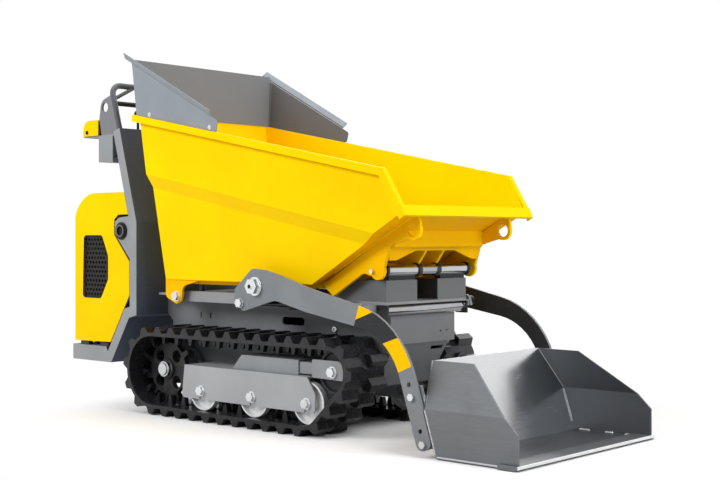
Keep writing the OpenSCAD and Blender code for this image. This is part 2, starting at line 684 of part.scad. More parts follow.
// Filler neck with its rim, on the right-hand flange
module filler_port() color(black) right() at(port_pos) difference() {
    union() {
        ycyl(32, rear_half, rear_half + 5);
        ycyl(26, rear_half + 5 - eps, rear_half + 9);
    }
    ycyl(17, rear_half + 3, rear_half + 10);
}

// Two ears with a pin that a control lever turns on
lever_x = tower_top_x - 100;
lever_y = [-120, 0, 120];
hub_r = 9;
hub_w = 14;
lever_pin_r = 4;
lever_z = console_z + hub_r + 2;
module lever_stand(y) translate([lever_x, y, lever_z]) {
    both() difference() {
        union() {
            ycyl(hub_r, hub_w / 2 + 0.3, hub_w / 2 + 5);
            box([-hub_r, hub_w / 2 + 0.3, console_z - lever_z], [hub_r, hub_w / 2 + 5, 0]);
        }
        ycyl(lever_pin_r, 0, hub_w);
    }
    ycyl(lever_pin_r, -hub_w / 2 - 5, hub_w / 2 + 5);
}

// Console: pierced side plates welded to the handle's legs, lower box and top tray behind the tower
plate_y = rear_half - rear_t - 8;
handle_lean = 17;
handle_foot = tower_top_x - 15;
handle_y = plate_y + 8 - handle_r - 0.5;
module handle_leg(r, length) translate([handle_foot, handle_y, console_z]) rotate([0, -handle_lean, 0])
    translate([0, 0, -20]) cylinder(r = r, h = length);
module console() color(grey) {
    cheek = rounded([[tower_top_x - 114, console_z], [tower_top_x - 128, console_z + 62],
        [tower_top_x - 116, console_z + 128], [handle_foot - 146 * tan(handle_lean), console_z + 146],
        [handle_foot, console_z]], [0, 20, 34, 0, 0]);
    both() difference() {
        xz(plate_y, plate_y + 8) polygon(cheek);
        at([tower_top_x - 94, console_z + 103]) ycyl(18, plate_y - 1, plate_y + 9);
        handle_leg(handle_r + 0.3, 300);
    }
    box([tower_top_x - 222, -plate_y - 8, console_z - 5], [tower_top_x - 10, plate_y + 8, console_z]);
    for (y = lever_y) lever_stand(y);
    difference() {
        box([tower_top_x - 129, -rear_half + 4, console_z - 100],
            [tower_top_x - 45, rear_half - 4, console_z - 5]);
        box([tower_top_x - 125, -rear_half + 8, console_z - 96],
            [tower_top_x - 49, rear_half - 8, console_z - 5 + eps]);
    }
}

// Rounded guards over the two rear corners of the console
cover_w = 84;
module console_cover() color(yellow) both() {
    outer = rounded([[tower_top_x - 222, console_z], [tower_top_x - 216, console_z + 58],
        [tower_top_x - 129, console_z + 58], [tower_top_x - 129, console_z]], [0, 34, 4, 0]);
    hollow = rounded([[tower_top_x - 218, console_z - 1], [tower_top_x - 212, console_z + 54],
        [tower_top_x - 128, console_z + 54], [tower_top_x - 128, console_z - 1]], [0, 30, 0, 0]);
    difference() {
        xz(rear_half - cover_w, rear_half) polygon(outer);
        xz(rear_half - cover_w + 4, rear_half - 4) polygon(hollow);
    }
}

// Handle: bent hoop over the console with corner braces, and a straight grip bar below it
handle_bend = 42;
brace_r = 7;
module handle_rail() color(dark) {
    rise = (handle_z - handle_r - console_z) / cos(handle_lean);
    grip = 116 / cos(handle_lean);
    translate([handle_foot, 0, console_z]) rotate([0, -handle_lean, 0]) intersection() {
        union() {
            both() {
                translate([0, handle_y, -20]) cylinder(r = handle_r, h = rise - handle_bend + 20);
                translate([0, handle_y - handle_bend, rise - handle_bend]) rotate([90, 0, 90])
                    rotate_extrude(angle = 90) translate([handle_bend, 0]) circle(handle_r);
                translate([0, handle_y, grip + 16]) rotate([63, 0, 0]) cylinder(r = brace_r, h = 112);
            }
            translate([0, 0, rise]) ycyl(handle_r, handle_bend - handle_y, handle_y - handle_bend);
            translate([0, 0, grip]) ycyl(handle_r - 2, -handle_y, handle_y);
        }
        rotate([0, handle_lean, 0]) box([-400, -400, 0], [400, 400, 400]);
    }
}

// Engine: crankcase, finned cylinder, fan housing and feet on the tray
engine_x = -925;
module engine() color(dark) {
    floor = tray_z + rear_t;
    both() box([engine_x - 95, 70, floor], [engine_x + 75, 110, floor + 45]);
    box([engine_x - 95, -125, floor + 45 - eps], [engine_x + 75, 125, floor + 230]);
    for (i = [0:8])
        box([engine_x - 70, -90, floor + 238 + i * 14], [engine_x + 50, 90, floor + 245 + i * 14]);
    box([engine_x - 55, -72, floor + 230 - eps], [engine_x + 35, 72, floor + 372]);
    translate([engine_x - 10, 125 - eps, floor + 150]) {
        ycyl(95, 0, 46);
        ycyl(70, 46 - eps, 58);
    }
}

// Exhaust muffler beside the cylinder
module muffler() color(steel) translate([engine_x - 10, 0, tray_z + rear_t + 312]) {
    ycyl(15, -125, -90);
    translate([-55, -165, 0]) rotate([0, 90, 0]) cylinder(r = 55, h = 110);
    translate([0, -165, 50]) cylinder(r = 14, h = 60);
}

// Gear pump on the front of the engine
module hydraulic_pump() color(steel) {
    floor = tray_z + rear_t;
    translate([engine_x + 75, 0, floor + 140]) rotate([0, 90, 0]) cylinder(r = 46, h = 20);
    box([engine_x + 95 - eps, -38, floor + 96], [engine_x + 150, 38, floor + 184]);
    both() translate([engine_x + 122, 38 - eps, floor + 140]) ycyl(13, 0, 16);
}

// Hydraulic tank on the back of the tower, with its cap
module hydraulic_tank() color(black) {
    rear = tower_x - rear_t;
    box([rear - 74, -200, tower_foot_z + 80], [rear, 200, tower_kink_z - 40]);
    translate([rear - 37, 120, tower_kink_z - 40 - eps]) cylinder(r = 26, h = 16);
}

// Skip: outline seen from the side, cut by the folded cross-section that runs along the rim
module along_rim() translate([rim_rear.x, 0, rim_rear.y]) rotate([0, rim_angle, 0]) children();
module skip_prism(side, section) intersection() {
    xz(-400, 400) polygon(side);
    along_rim() translate([-200, 0, 0]) rotate([90, 0, 90]) linear_extrude(1700)
        polygon(concat(section, reversed([for (p = section) [-p.x, p.y]])));
}
module skip_solid() skip_prism(skip_side, skip_section);
module rear_ear(y0) xz(y0, y0 + 8) polygon(rounded([[floor_rear_x - 5, skip_floor_z + 31],
    [floor_rear_x - 5, skip_floor_z - 62], [floor_rear_x + 54, skip_floor_z - 86],
    [floor_rear_x + 80, skip_floor_z - 74], [floor_rear_x + 84, skip_floor_z - 22],
    [floor_rear_x + 188, skip_floor_z + 2],
    [floor_rear_x + 188, skip_floor_z + 31]], [0, 22, 14, 14, 30, 0, 0]));
module skip_tub() color(yellow) {
    hollow = [for (i = [0:len(skip_section) - 1]) skip_section[i] - [skip_t, 0]];
    difference() {
        union() {
            skip_solid();
            both() rear_ear(ear_y);
        }
        skip_prism(inset(skip_side, [skip_t, skip_t, skip_t, -60, -60]), hollow);
        both() at([floor_rear_x + 57, skip_floor_z - 58]) ycyl(9, ear_y - 1, ear_y + 9);
    }
}

// Folded rim along the top and down the front edge, and the lip across the front
front_edge = [lip + [18, -15], rim_front];
module skip_rim() color(yellow) {
    top = [rim_rear, rim_front, front_edge[0]];
    band = strip(top, -rim_h);
    longer = [rim_rear - [60, -60 * rim_slope], rim_front, front_edge[0] + (front_edge[0] - rim_front)];
    hollow = strip(beside(longer, -skip_t), -rim_h);
    difference() {
        both() xz(skip_wall_half - 8, skip_rim_half) polygon(band);
        both() xz(skip_wall_half - 9, skip_rim_half - skip_t) polygon(hollow);
        skip_solid_tall();
    }
    along_rim() difference() {
        box([0, -skip_rim_half, -rim_h], [16, skip_rim_half, 0]);
        box([skip_t, -skip_rim_half + skip_t, -rim_h - 1], [17, skip_rim_half - skip_t, -skip_t]);
    }
    difference() {
        xz(-skip_rim_half, skip_rim_half) polygon(strip([lip + [4, 16], front_edge[0]], -12));
        skip_solid();
    }
}
module skip_solid_tall() skip_prism(inset(skip_side, [0, 0, 0, -80, -80]), skip_section);

// Frame under the skip: rest beams, hinge gussets with lifting eyes, cross rib and cylinder lug
eye = [579, 647];
eye_r = 21;
function chute_z(x) = skip_floor_z + (x - chute_x) * chute_slope;
module skip_underframe() color(yellow) difference() {
    union() {
        both() {
            box([floor_rear_x + 40, beam_y[0], skip_beam_z], [chute_x - 10, beam_y[1], skip_floor_z]);
            xz(gusset_y[0], gusset_y[1]) {
                polygon(rounded([[chute_x + 14, skip_floor_z - 2], [chute_x + 58, skip_floor_z - 36],
                    [hinge_x - 58, hinge_z - 8], [hinge_x - 24, hinge_z - 16], [hinge_x + 26, hinge_z + 11],
                    [hinge_x + 46, hinge_z + 76], [eye.x - 14, eye.y - 26], [eye.x + 29, eye.y + 16],
                    [eye.x + 20, chute_z(eye.x + 20)]], [0, 6, 22, 0, 0, 16, 0, 0, 0]));
                translate([hinge_x, hinge_z]) circle(28);
                translate(eye) circle(eye_r + 9.5);
            }
            xz(inner_gusset_y[0], inner_gusset_y[1])
                polygon([[hinge_x - 26, hinge_z + 10], [hinge_x + 6, hinge_z + 16],
                    [hinge_x + 40, hinge_z + 62], [hinge_x + 40, chute_z(hinge_x + 40)],
                    [hinge_x - 120, chute_z(hinge_x - 120)]]);
            xz(tip_lug_y, tip_lug_y + 10) polygon(rounded([
                [tip_pin.x - 20, tip_pin.y - 18], [tip_pin.x + 20, tip_pin.y - 18],
                [tip_pin.x + 60, chute_z(tip_pin.x + 60)], [tip_pin.x - 50, skip_floor_z]], [18, 18, 0, 0]));
        }
        xz(-gusset_y[0] - eps, gusset_y[0] + eps) polygon([
            [hinge_x + 44, hinge_z + 66], [hinge_x + 60, hinge_z + 74],
            [hinge_x + 60, chute_z(hinge_x + 60)], [hinge_x + 44, chute_z(hinge_x + 44)]]);
        difference() {
            box([hinge_x + 32, -gusset_y[0] - eps, hinge_z + 32],
                [hinge_x + 40, gusset_y[0] + eps, chute_z(hinge_x + 32)]);
            translate([hinge_x + 31, 0, hinge_z + 31]) rotate([90, 0, 90]) linear_extrude(10)
                polygon([[-200, -1], [-100, 30], [100, 30], [200, -1]]);
        }
        at(tip_pin) ycyl(tip_rod_r - 3, -tip_eye_w, tip_eye_w);
    }
    skip_solid();
    both() {
        at([hinge_x, hinge_z]) ycyl(hinge_shaft_r, gusset_y[0] - 1, shaft_end);
        at([hinge_x, hinge_z]) ycyl(collar_r, inner_gusset_y[0] - 1, inner_gusset_y[1] + 1);
        at(eye) ycyl(eye_r, gusset_y[0] - 1, gusset_y[1] + 1);
    }
}

// Spill guard: two leaning sides with a folded edge, and a rear wall between them
guard_y = skip_rim_half - 8;
guard_back = 68;
guard_fold = guard_flange * 1.6;
guard_foot = 14;
module guard_sides() color(grey) both() along_rim() translate([0, guard_y, 0]) rotate([-guard_lean, 0, 0]) {
    slope = [[guard_len, guard_front_h], [-guard_back, guard_h]];
    sunk = [0, 1];
    d = slope[1] - slope[0];
    top = slope[0] + d * (guard_len + 28) / (guard_len + guard_back);
    mirror([0, 1, 0]) xz(0, guard_t) polygon(rounded([[guard_foot, 0.5], [guard_len, 0.5], slope[0] - sunk,
        top - sunk, [guard_foot - 34, guard_h - 44]], [0, 8, 12, 0, 0]));
    translate([slope[0].x, 0, slope[0].y]) rotate([0, -atan2(d.y, d.x), 0]) translate([36, 0, 0])
        rotate([90, 0, 90]) linear_extrude(norm(d) - 36)
        polygon([[0.5 - guard_t, -5], [-1, -5], [guard_flange - guard_t, -guard_fold],
            [guard_flange, -guard_fold], [0.5, 0], [0.5 - guard_t, 0]]);
}
module guard_rear() color(grey) along_rim() {
    lean = atan2(46, guard_h);
    rise = guard_h / cos(lean);
    low = guard_y - guard_t - 1;
    high = low + guard_h * tan(guard_lean);
    translate([guard_foot + 8, 0, 0.5]) rotate([0, -lean, 0]) rotate([90, 0, 90]) linear_extrude(guard_t)
        polygon([[-low, 0], [low, 0], [high, rise], [-high, rise]]);
}

// Bolts of the rear ears and of the guard's sides
module skip_bolts() color(zinc) both() {
    at([floor_rear_x + 57, skip_floor_z - 58]) {
        ycyl(9, ear_y, ear_y + 8);
        ycyl(18, ear_y + 8, ear_y + 11);
        hex_head(ear_y + 11 - eps, ear_y + 23, 28);
    }
    at([hinge_x - 19, hinge_z - 2]) hex_head(gusset_y[1], gusset_y[1] + 9, 13);
}

// Shaft of the skip's hinge, with a sleeve in the middle and collars beside the tubes
module hinge_shaft() color(steel) both() at([hinge_x, hinge_z]) {
    ycyl(hinge_shaft_r, -eps, shaft_end);
    ycyl(hinge_tube_r, -eps, inner_gusset_y[0] + eps);
    ycyl(collar_r, inner_gusset_y[0], tube_in - 0.5);
    ycyl(collar_r, tube_out + 0.5, tube_out + 9);
}

// Loader arm: plate outline cut from a slab with a sideways bend
module arm() color(grey) difference() {
    intersection() {
        xz(arm_rear_y - 60, arm_y + 60) polygon(rounded(arm_outline, arm_radii));
        linear_extrude(700) polygon(strip([
            [-300, arm_rear_y - arm_t / 2], [arm_bend[0], arm_rear_y - arm_t / 2],
            [arm_bend[1], arm_y - arm_t / 2], [900, arm_y - arm_t / 2]], arm_t));
    }
    at([pivot_x, pivot_z]) ycyl(pin_r + run_gap, arm_in - 9, arm_out + 9);
    at(lift_pin) ycyl(8, arm_in - 9, arm_out + 9);
    for (p = concat(leg_bolts, leg_holes)) at(p) ycyl(7, arm_y - 20, arm_y + 20);
}

// Bucket: side view cut by the folded front view, hollowed and open to the front
bucket_front = [[bucket_half, -20], [bucket_half, bucket_fold_z], [bucket_top_half, bucket_h],
    [bucket_top_half - 6.5, bucket_h + 10]];
module bucket_prism(side, front) intersection() {
    xz(-500, 500) polygon(side);
    rotate([90, 0, 90]) linear_extrude(1400) polygon(concat(front, reversed([for (p = front) [-p.x, p.y]])));
}
module bucket_shell() color(steel) {
    hollow = [for (p = bucket_front) p - [bucket_t * 1.15, 0]];
    difference() {
        bucket_prism(bucket_side, bucket_front);
        bucket_prism(inset(bucket_side, [bucket_t, -60, -60, -60, -9, bucket_t]), hollow);
        box([bucket_front_x - edge_depth + 6, -500, -1], [bucket_front_x + 9, 500, edge_t + bucket_z]);
    }
}
module cutting_edge() color(zinc) xz(-bucket_half - 12, bucket_half + 12)
    polygon([[edge_front_x - edge_depth, bucket_z], [edge_front_x - 9, bucket_z],
        [edge_front_x, bucket_z + 5], [edge_front_x, bucket_z + edge_t],
        [edge_front_x - edge_depth, bucket_z + edge_t]]);

// Bracket plates on the bucket's back, bolted to the arms
bracket_t = 12;
weld_gap = 0.03;
bracket_top = bucket_fold_z + 34;
bracket_out = arm_y - arm_t / 2;
module bucket_brackets() color(steel) both() difference() {
    xz(bracket_out - bracket_t, bracket_out) polygon(rounded([[back_x(30) - weld_gap, 30],
        [back_x(bracket_top) - weld_gap, bracket_top], leg_bolts[0] + [22, 34], leg_bolts[0] + [-16, 34],
        leg_bolts[1] + [-18, -20]], [0, 0, 6, 12, 16]));
    for (p = leg_bolts) at(p) ycyl(7, bracket_out - bracket_t - 1, bracket_out + 1);
}

// Bolts between arms and bucket brackets, and the pins of the lift cylinders
module loader_bolts() color(zinc) both() {
    for (p = leg_bolts) at(p) {
        ycyl(7, bracket_out - bracket_t - 10, bracket_out + arm_t + 3);
        hex_head(bracket_out + arm_t, bracket_out + arm_t + 9, 20);
        hex_head(bracket_out - bracket_t - 10, bracket_out - bracket_t, 20);
    }
    at(lift_pin) {
        ycyl(8, lift_y - lift_barrel_r, arm_out);
        ycyl(15, arm_out, arm_out + 3);
        hex_head(arm_out + 3 - eps, arm_out + 13, 26);
    }
}

// Hydraulic cylinders, drawn along +X from the barrel's end eye and then turned into place
module barrel(length, r, bore, width, eye_r) {
    difference() {
        union() {
            rotate([0, 90, 0]) cylinder(r = r, h = length);
            translate([length - 26, 0, 0]) rotate([0, 90, 0]) cylinder(r = r + 1, h = 26);
            ycyl(eye_r, -width / 2, width / 2);
        }
        translate([eye_r + 6, 0, 0]) rotate([0, 90, 0]) cylinder(r = bore, h = length);
        ycyl(eye_r * 0.55, -width, width);
    }
}
module rod(length, r, width, eye_r, pin) difference() {
    union() {
        rotate([0, 90, 0]) cylinder(r = r, h = length);
        ycyl(eye_r, -width / 2, width / 2);
    }
    ycyl(pin, -width, width);
}
module tip_barrel() color(black) at(tip_base) rotate([0, -tip_angle, 0])
    barrel(tip_barrel_len, tip_barrel_r, tip_rod_r + run_gap, 50, 26);
module tip_rod() color(zinc) at(tip_pin) rotate([0, 180 - tip_angle, 0])
    rod(tip_rod_len, tip_rod_r, tip_eye_w, 20, tip_rod_r - 3 + run_gap);
module lift_barrel() color(black) at(lift_base, lift_y) rotate([0, 180 - lift_angle, 0])
    barrel(lift_barrel_len, lift_barrel_r, lift_rod_r + run_gap, lift_barrel_r * 2, 15);
module lift_rod() color(zinc) at(lift_pin, lift_y) rotate([0, -lift_angle, 0])
    rod(lift_rod_len, lift_rod_r, lift_barrel_r * 2, 18, 8 + run_gap);

// Hood: side view with a cut-out for the filler, rounded in plan, hollow and open below and in front
hood_half = rear_half;
hood_corner_r = 14;
function tower_back(z) = tower_x - tower_flange - hood_gap
    - (z > tower_kink_z ? (z - tower_kink_z) * tower_lean / (tower_top_z - tower_kink_z) : 0);
grille_outline = rounded([[-987, 400], [-880, 400], [-838, 470], [-838, 556], [-874, 630], [-980, 630]],
    [12, 14, 30, 30, 14, 12]);
module hood_plan(grow) {
    r = hood_corner_r + grow;
    translate([hood_rear_x - grow, -hood_half - grow]) {
        translate([r, 0]) square([600, 2 * (hood_half + grow)]);
        translate([0, r]) square([600, 2 * (hood_half + grow - r)]);
        for (y = [r, 2 * (hood_half + grow) - r]) translate([r, y]) circle(r);
    }
}
module hood_shell() color(yellow) {
    front = [[tower_back(hood_top_z), hood_top_z], [tower_back(708), 708], [-776, 708], [-800, 690],
        [-800, 634], [tower_back(536), 536], [tower_back(414), 414], [belly_x - 4, hood_bottom + 4]];
    outer = concat(rounded([[hood_rear_x, hood_bottom], [hood_rear_x, hood_top_z], front[0]],
        [0, hood_edge_r, 0]), [for (i = [1:7]) front[i]]);
    inner = rounded([[hood_rear_x + hood_t, 0], [hood_rear_x + hood_t, hood_top_z - hood_t],
        [-500, hood_top_z - hood_t], [-500, 0]], [0, hood_edge_r - hood_t, 0, 0]);
    difference() {
        intersection() {
            xz(-hood_half, hood_half) polygon(outer);
            linear_extrude(1000) hood_plan(0);
        }
        intersection() {
            xz(-hood_half, hood_half) polygon(inner);
            linear_extrude(1000) hood_plan(-hood_t);
        }
        xz(-400, 400) polygon(grille_outline);
        both() box([hood_rear_x - 1, 157, hood_bottom - 1], [hood_rear_x + 20, 191, hood_bottom + 14]);
    }
    both() for (y = [148, 191]) difference() {
        union() {
            at(hood_hinge) ycyl(8, y, y + 9);
            box([hood_rear_x + hood_t - eps, y, hood_hinge.y], [hood_hinge.x + 8, y + 9, hood_hinge.y + 30]);
        }
        at(hood_hinge) ycyl(4 + run_gap, y - 1, y + 10);
    }
}

// Perforated grilles behind the openings in the hood's sides
module hood_grilles() color(black) both() difference() {
    xz(hood_half - hood_t - 3, hood_half - hood_t) polygon(rounded([[-996, 391], [-876, 391], [-829, 468],
        [-829, 558], [-868, 639], [-989, 639]], [12, 14, 30, 30, 14, 12]));
    for (i = [0:6], j = [0:12])
        at([-974 + i * 18 + (j % 2) * 9, 412 + j * 17], hood_half - hood_t - 4) ycyl(5.5, 0, 6);
}

// Control lever: hub on its pin, stem and knob
module lever(y) color(black) translate([lever_x, y, lever_z]) {
    difference() {
        union() {
            ycyl(hub_r, -hub_w / 2, hub_w / 2);
            cylinder(r = 5, h = lever_len);
        }
        ycyl(lever_pin_r + run_gap, -hub_w, hub_w);
    }
    translate([0, 0, lever_len]) sphere(knob_r);
}

track_belt();  // track_belt_left
right() track_belt();  // track_belt_right
track_frame();  // track_frame_left
right() track_frame();  // track_frame_right
tension_beam();  // tension_beam_left
right() tension_beam();  // tension_beam_right
idler_fork();  // idler_fork_left
right() idler_fork();  // idler_fork_right
track_axles();  // track_axles_left
right() track_axles();  // track_axles_right
drive_motor();  // drive_motor_left
right() drive_motor();  // drive_motor_right
sprocket();  // sprocket_left
right() sprocket();  // sprocket_right
idler();  // idler_left
right() idler();  // idler_right
roller(0);  // roller_front_left
roller(1);  // roller_middle_left
roller(2);  // roller_rear_left
right() roller(0);  // roller_front_right
right() roller(1);  // roller_middle_right
right() roller(2);  // roller_rear_right
chassis_box();
upper_deck();
cross_bar();
rubber_buffers();
arm_pivot_pins();
rear_frame();
filler_port();
console();
console_cover();
handle_rail();
engine();
muffler();
hydraulic_pump();
hydraulic_tank();
skip_tub();
skip_rim();
skip_underframe();
guard_sides();
guard_rear();
skip_bolts();
hinge_shaft();
arm();  // arm_left
right() arm();  // arm_right
bucket_shell();
cutting_edge();
bucket_brackets();
loader_bolts();
tip_barrel();
tip_rod();
lift_barrel();  // lift_barrel_left
right() lift_barrel();  // lift_barrel_right
lift_rod();  // lift_rod_left
right() lift_rod();  // lift_rod_right
hood_shell();
hood_grilles();
lever(lever_y[2]);  // travel_lever_left
lever(lever_y[0]);  // travel_lever_right
lever(lever_y[1]);  // function_lever
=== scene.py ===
import math
import random
import bmesh
import bpy
from mathutils import Matrix, Vector


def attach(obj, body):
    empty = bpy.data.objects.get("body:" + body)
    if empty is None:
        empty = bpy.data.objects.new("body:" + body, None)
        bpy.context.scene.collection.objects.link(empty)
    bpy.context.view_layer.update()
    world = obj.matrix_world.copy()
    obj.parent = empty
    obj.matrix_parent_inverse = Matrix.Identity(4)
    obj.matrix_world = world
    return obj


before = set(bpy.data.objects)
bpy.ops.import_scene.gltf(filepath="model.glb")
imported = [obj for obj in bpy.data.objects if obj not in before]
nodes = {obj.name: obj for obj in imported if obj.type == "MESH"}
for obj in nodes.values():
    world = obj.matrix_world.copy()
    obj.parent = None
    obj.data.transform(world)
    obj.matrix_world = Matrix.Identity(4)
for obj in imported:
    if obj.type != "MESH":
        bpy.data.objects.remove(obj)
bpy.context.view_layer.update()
print("frame loaded:", len(nodes), "nodes")


def screen(r, g, b):  # a colour as read off a screen, 0 to 255
    def linear(c):
        c = c / 255
        return c / 12.92 if c <= 0.04045 else ((c + 0.055) / 1.055) ** 2.4
    return (linear(r), linear(g), linear(b), 1)


class Val:  # a shader socket that takes part in sums
    def __init__(self, finish, socket):
        self.finish = finish
        self.socket = socket

    def calc(self, operation, *terms):
        return self.finish.node("Math", {"operation": operation}, dict(enumerate(terms)))

    def __add__(self, other):
        return self.calc("ADD", self, other)

    def __radd__(self, other):
        return self.calc("ADD", other, self)

    def __sub__(self, other):
        return self.calc("SUBTRACT", self, other)

    def __rsub__(self, other):
        return self.calc("SUBTRACT", other, self)

    def __mul__(self, other):
        return self.calc("MULTIPLY", self, other)

    def __rmul__(self, other):
        return self.calc("MULTIPLY", other, self)

    def __pow__(self, other):
        return self.calc("POWER", self, other)

    def __gt__(self, other):
        return self.calc("GREATER_THAN", self, other)

    def __lt__(self, other):
        return self.calc("LESS_THAN", self, other)

    def __abs__(self):
        return self.calc("ABSOLUTE", self)

    def ramp(self, low, high):  # 0 below low, 1 above high, soft between
        return self.finish.node("MapRange", {"interpolation_type": "SMOOTHSTEP"},
                                {"Value": self, "From Min": low, "From Max": high})


class Finish:  # one material and its nodes
    def __init__(self, name, owner=None):
        self.mat = owner or bpy.data.materials.new(name)
        self.mat.use_nodes = True
        self.tree = self.mat.node_tree
        self.tree.nodes.clear()

    def node(self, kind, settings, sockets, out=None):
        made = self.tree.nodes.new("ShaderNode" + kind)
        for key, value in settings.items():
            setattr(made, key, value)
        for key, value in sockets.items():
            if isinstance(key, int):
                socket = made.inputs[key]
            else:
                socket = next(s for s in made.inputs if s.name == key and s.enabled)
            if isinstance(value, Val):
                self.tree.links.new(value.socket, socket)
            else:
                socket.default_value = value
        shown = [s for s in made.outputs if s.enabled]
        if not shown:
            return made
        return Val(self, made.outputs[out] if out else shown[0])

    def place(self):  # rest-frame metres, riding with the part
        return self.node("TexCoord", {}, {}, "Object")

    def parts(self, vector):  # x, y and z of a vector
        split = self.node("SeparateXYZ", {}, {"Vector": vector}).socket.node
        return [Val(self, s) for s in split.outputs]

    def stretch(self, vector, scale):
        return self.node("VectorMath", {"operation": "MULTIPLY"}, {0: vector, 1: scale})

    def noise(self, vector, scale, detail=2, rough=0.5):
        sockets = {"Vector": vector, "Scale": scale, "Detail": detail, "Roughness": rough}
        return self.node("TexNoise", {}, sockets)

    def cells(self, vector, scale):
        return self.node("TexVoronoi", {}, {"Vector": vector, "Scale": scale})

    def mix(self, share, a, b):
        return self.node("Mix", {"data_type": "RGBA"}, {"Factor": share, "A": a, "B": b})

    def bump(self, height, strength, distance):
        return self.node("Bump", {}, {"Height": height, "Strength": strength, "Distance": distance})

    def surface(self, sockets):
        shader = self.node("BsdfPrincipled", {}, sockets)
        self.node("OutputMaterial", {}, {"Surface": shader})
        return self.mat


paintEdge = 0.0004  # how soft the edge between two coats is, metres
coatGrain = {"rubStretch": (1, 1, 7), "rubSpan": (0.62, 0.74), "driftSpan": (0.3, 0.7), "dustScale": 24,
             "dustSpan": (0.35, 0.75), "dustFoot": 0.02, "dustTone": screen(158, 152, 142), "driftRough": 0.14,
             "peelRough": 0.08, "rubRough": 0.25, "dustRough": 0.4, "metalRough": 0.28, "driftBump": 0.6,
             "bumpDepth": 0.0006}


def powderCoat(name, look, patches=None):  # baked powder paint on sheet metal
    f, grain = Finish(name), coatGrain
    at = f.place()
    drift = f.noise(at, look["driftScale"], 3)
    peel = f.noise(at, look["peelScale"], 2)
    rub = f.noise(f.stretch(at, grain["rubStretch"]), look["rubScale"], 5, 0.62)
    x, y, z = f.parts(at)
    cloud = f.noise(at, grain["dustScale"], 4).ramp(*grain["dustSpan"])
    dust = z.ramp(look["dustTop"], grain["dustFoot"]) * cloud * look["dust"]
    rubbed = rub.ramp(*grain["rubSpan"]) * look["rub"]
    color = f.mix(drift.ramp(*grain["driftSpan"]), look["low"], look["high"])
    metal = None
    if patches:
        color, metal = patches(f, (x, y, z), color)
    color = f.mix(rubbed, color, look["worn"])
    color = f.mix(dust, color, grain["dustTone"])
    rough = look["rough"] + (drift - 0.5) * grain["driftRough"] + (peel - 0.5) * grain["peelRough"]
    rough = rough + rubbed * grain["rubRough"] + dust * grain["dustRough"]
    sockets = {"Base Color": color, "Roughness": rough, "Specular IOR Level": look["gloss"],
               "Normal": f.bump(peel + drift * grain["driftBump"], look["peel"], grain["bumpDepth"])}
    if metal is not None:
        sockets["Metallic"] = metal
        sockets["Roughness"] = rough - metal * grain["metalRough"]
    return f.surface(sockets)


yellowLook = {"low": screen(255, 208, 0), "high": screen(255, 214, 0), "worn": screen(244, 192, 8),
              "rough": 0.5, "gloss": 0.06, "peel": 0.10, "peelScale": 520, "driftScale": 5, "rubScale": 18,
              "rub": 0.10, "dustTop": 0.25, "dust": 0.1}
# hood and underframe: the same paint, with its yellow matched to their light and shade in the photograph
hoodLook = dict(yellowLook, low=screen(255, 202, 0), high=screen(255, 208, 0))
underLook = dict(yellowLook, low=screen(255, 193, 0), high=screen(255, 199, 0))
greyLook = {"low": screen(139, 142, 145), "high": screen(147, 150, 153), "worn": screen(172, 174, 176),
            "rough": 0.46, "gloss": 0.30, "peel": 0.16, "peelScale": 700, "driftScale": 6, "rubScale": 26,
            "rub": 0.18, "dustTop": 0.34, "dust": 0.10}
frameLook = dict(greyLook, low=screen(160, 163, 166), high=screen(168, 171, 174), worn=screen(184, 186, 188))
darkLook = dict(greyLook, low=screen(114, 117, 120), high=screen(122, 125, 128), worn=screen(138, 140, 142))
blackLook = dict(greyLook, low=screen(30, 31, 33), high=screen(38, 39, 41), worn=screen(66, 67, 69), rub=0.2)
guardLook = dict(greyLook, low=screen(136, 142, 149), high=screen(144, 150, 157), face=0.32265,
                 lean=math.radians(5), side=screen(96, 100, 105), rear=screen(122, 127, 133), back=-0.605)
armCoat = dict(greyLook, low=screen(126, 129, 132), high=screen(134, 137, 140), worn=screen(156, 158, 160),
               gloss=0.07)
hoopLook = dict(greyLook, low=screen(76, 78, 82), high=screen(86, 88, 92), worn=screen(110, 112, 114),
                gloss=0.5, rough=0.3, gripHalf=0.2565, gripLow=1.1095, gripHigh=1.1305, grip=screen(34, 34, 36))


def gripBlack(f, axes, color):  # the straight bar under the hoop is sleeved in black
    x, y, z = axes
    look = hoopLook
    along = 1 - abs(y).ramp(look["gripHalf"] - paintEdge, look["gripHalf"])
    above = z.ramp(look["gripLow"] - paintEdge, look["gripLow"])
    below = 1 - z.ramp(look["gripHigh"], look["gripHigh"] + paintEdge)
    return f.mix(along * above * below, color, look["grip"]), None


armLook = {"stripes": [[(0.4657, 0.3814), (0.4784, 0.4234)], [(0.4657, 0.3814), (0.5286, 0.4047)],
                       [(0.5633, 0.3130), (0.6287, 0.3358)], [(0.6310, 0.2359), (0.6754, 0.2545)]],
           "yellow": screen(255, 197, 0), "dark": screen(54, 56, 58), "soft": 0.0006, "face": (0.3652, 0.3658),
           "inner": 0.3556, "bend": 0.30, "shade": screen(66, 68, 71)}


def armStripes(f, axes, color):  # warning stripes across the arm, on its outer face only
    x, y, z = axes
    look = armLook

    def past(line):  # how far the point lies beyond a line, towards the bucket
        (ax, az), (bx, bz) = line
        run = math.hypot(bx - ax, bz - az)
        return (x - ax) * ((bz - az) / run) - (z - az) * ((bx - ax) / run)
    edge, first, second, last = [past(line).ramp(-look["soft"], look["soft"]) for line in look["stripes"]]
    band = edge * abs(y).ramp(*look["face"]) * (1 - last)
    hue = f.mix(first - second, look["yellow"], look["dark"])
    inside = (abs(y) < look["inner"]) * (x > look["bend"])  # inner face, matched to its shade in the photograph
    return f.mix(band, f.mix(inside, color, look["shade"]), hue), None


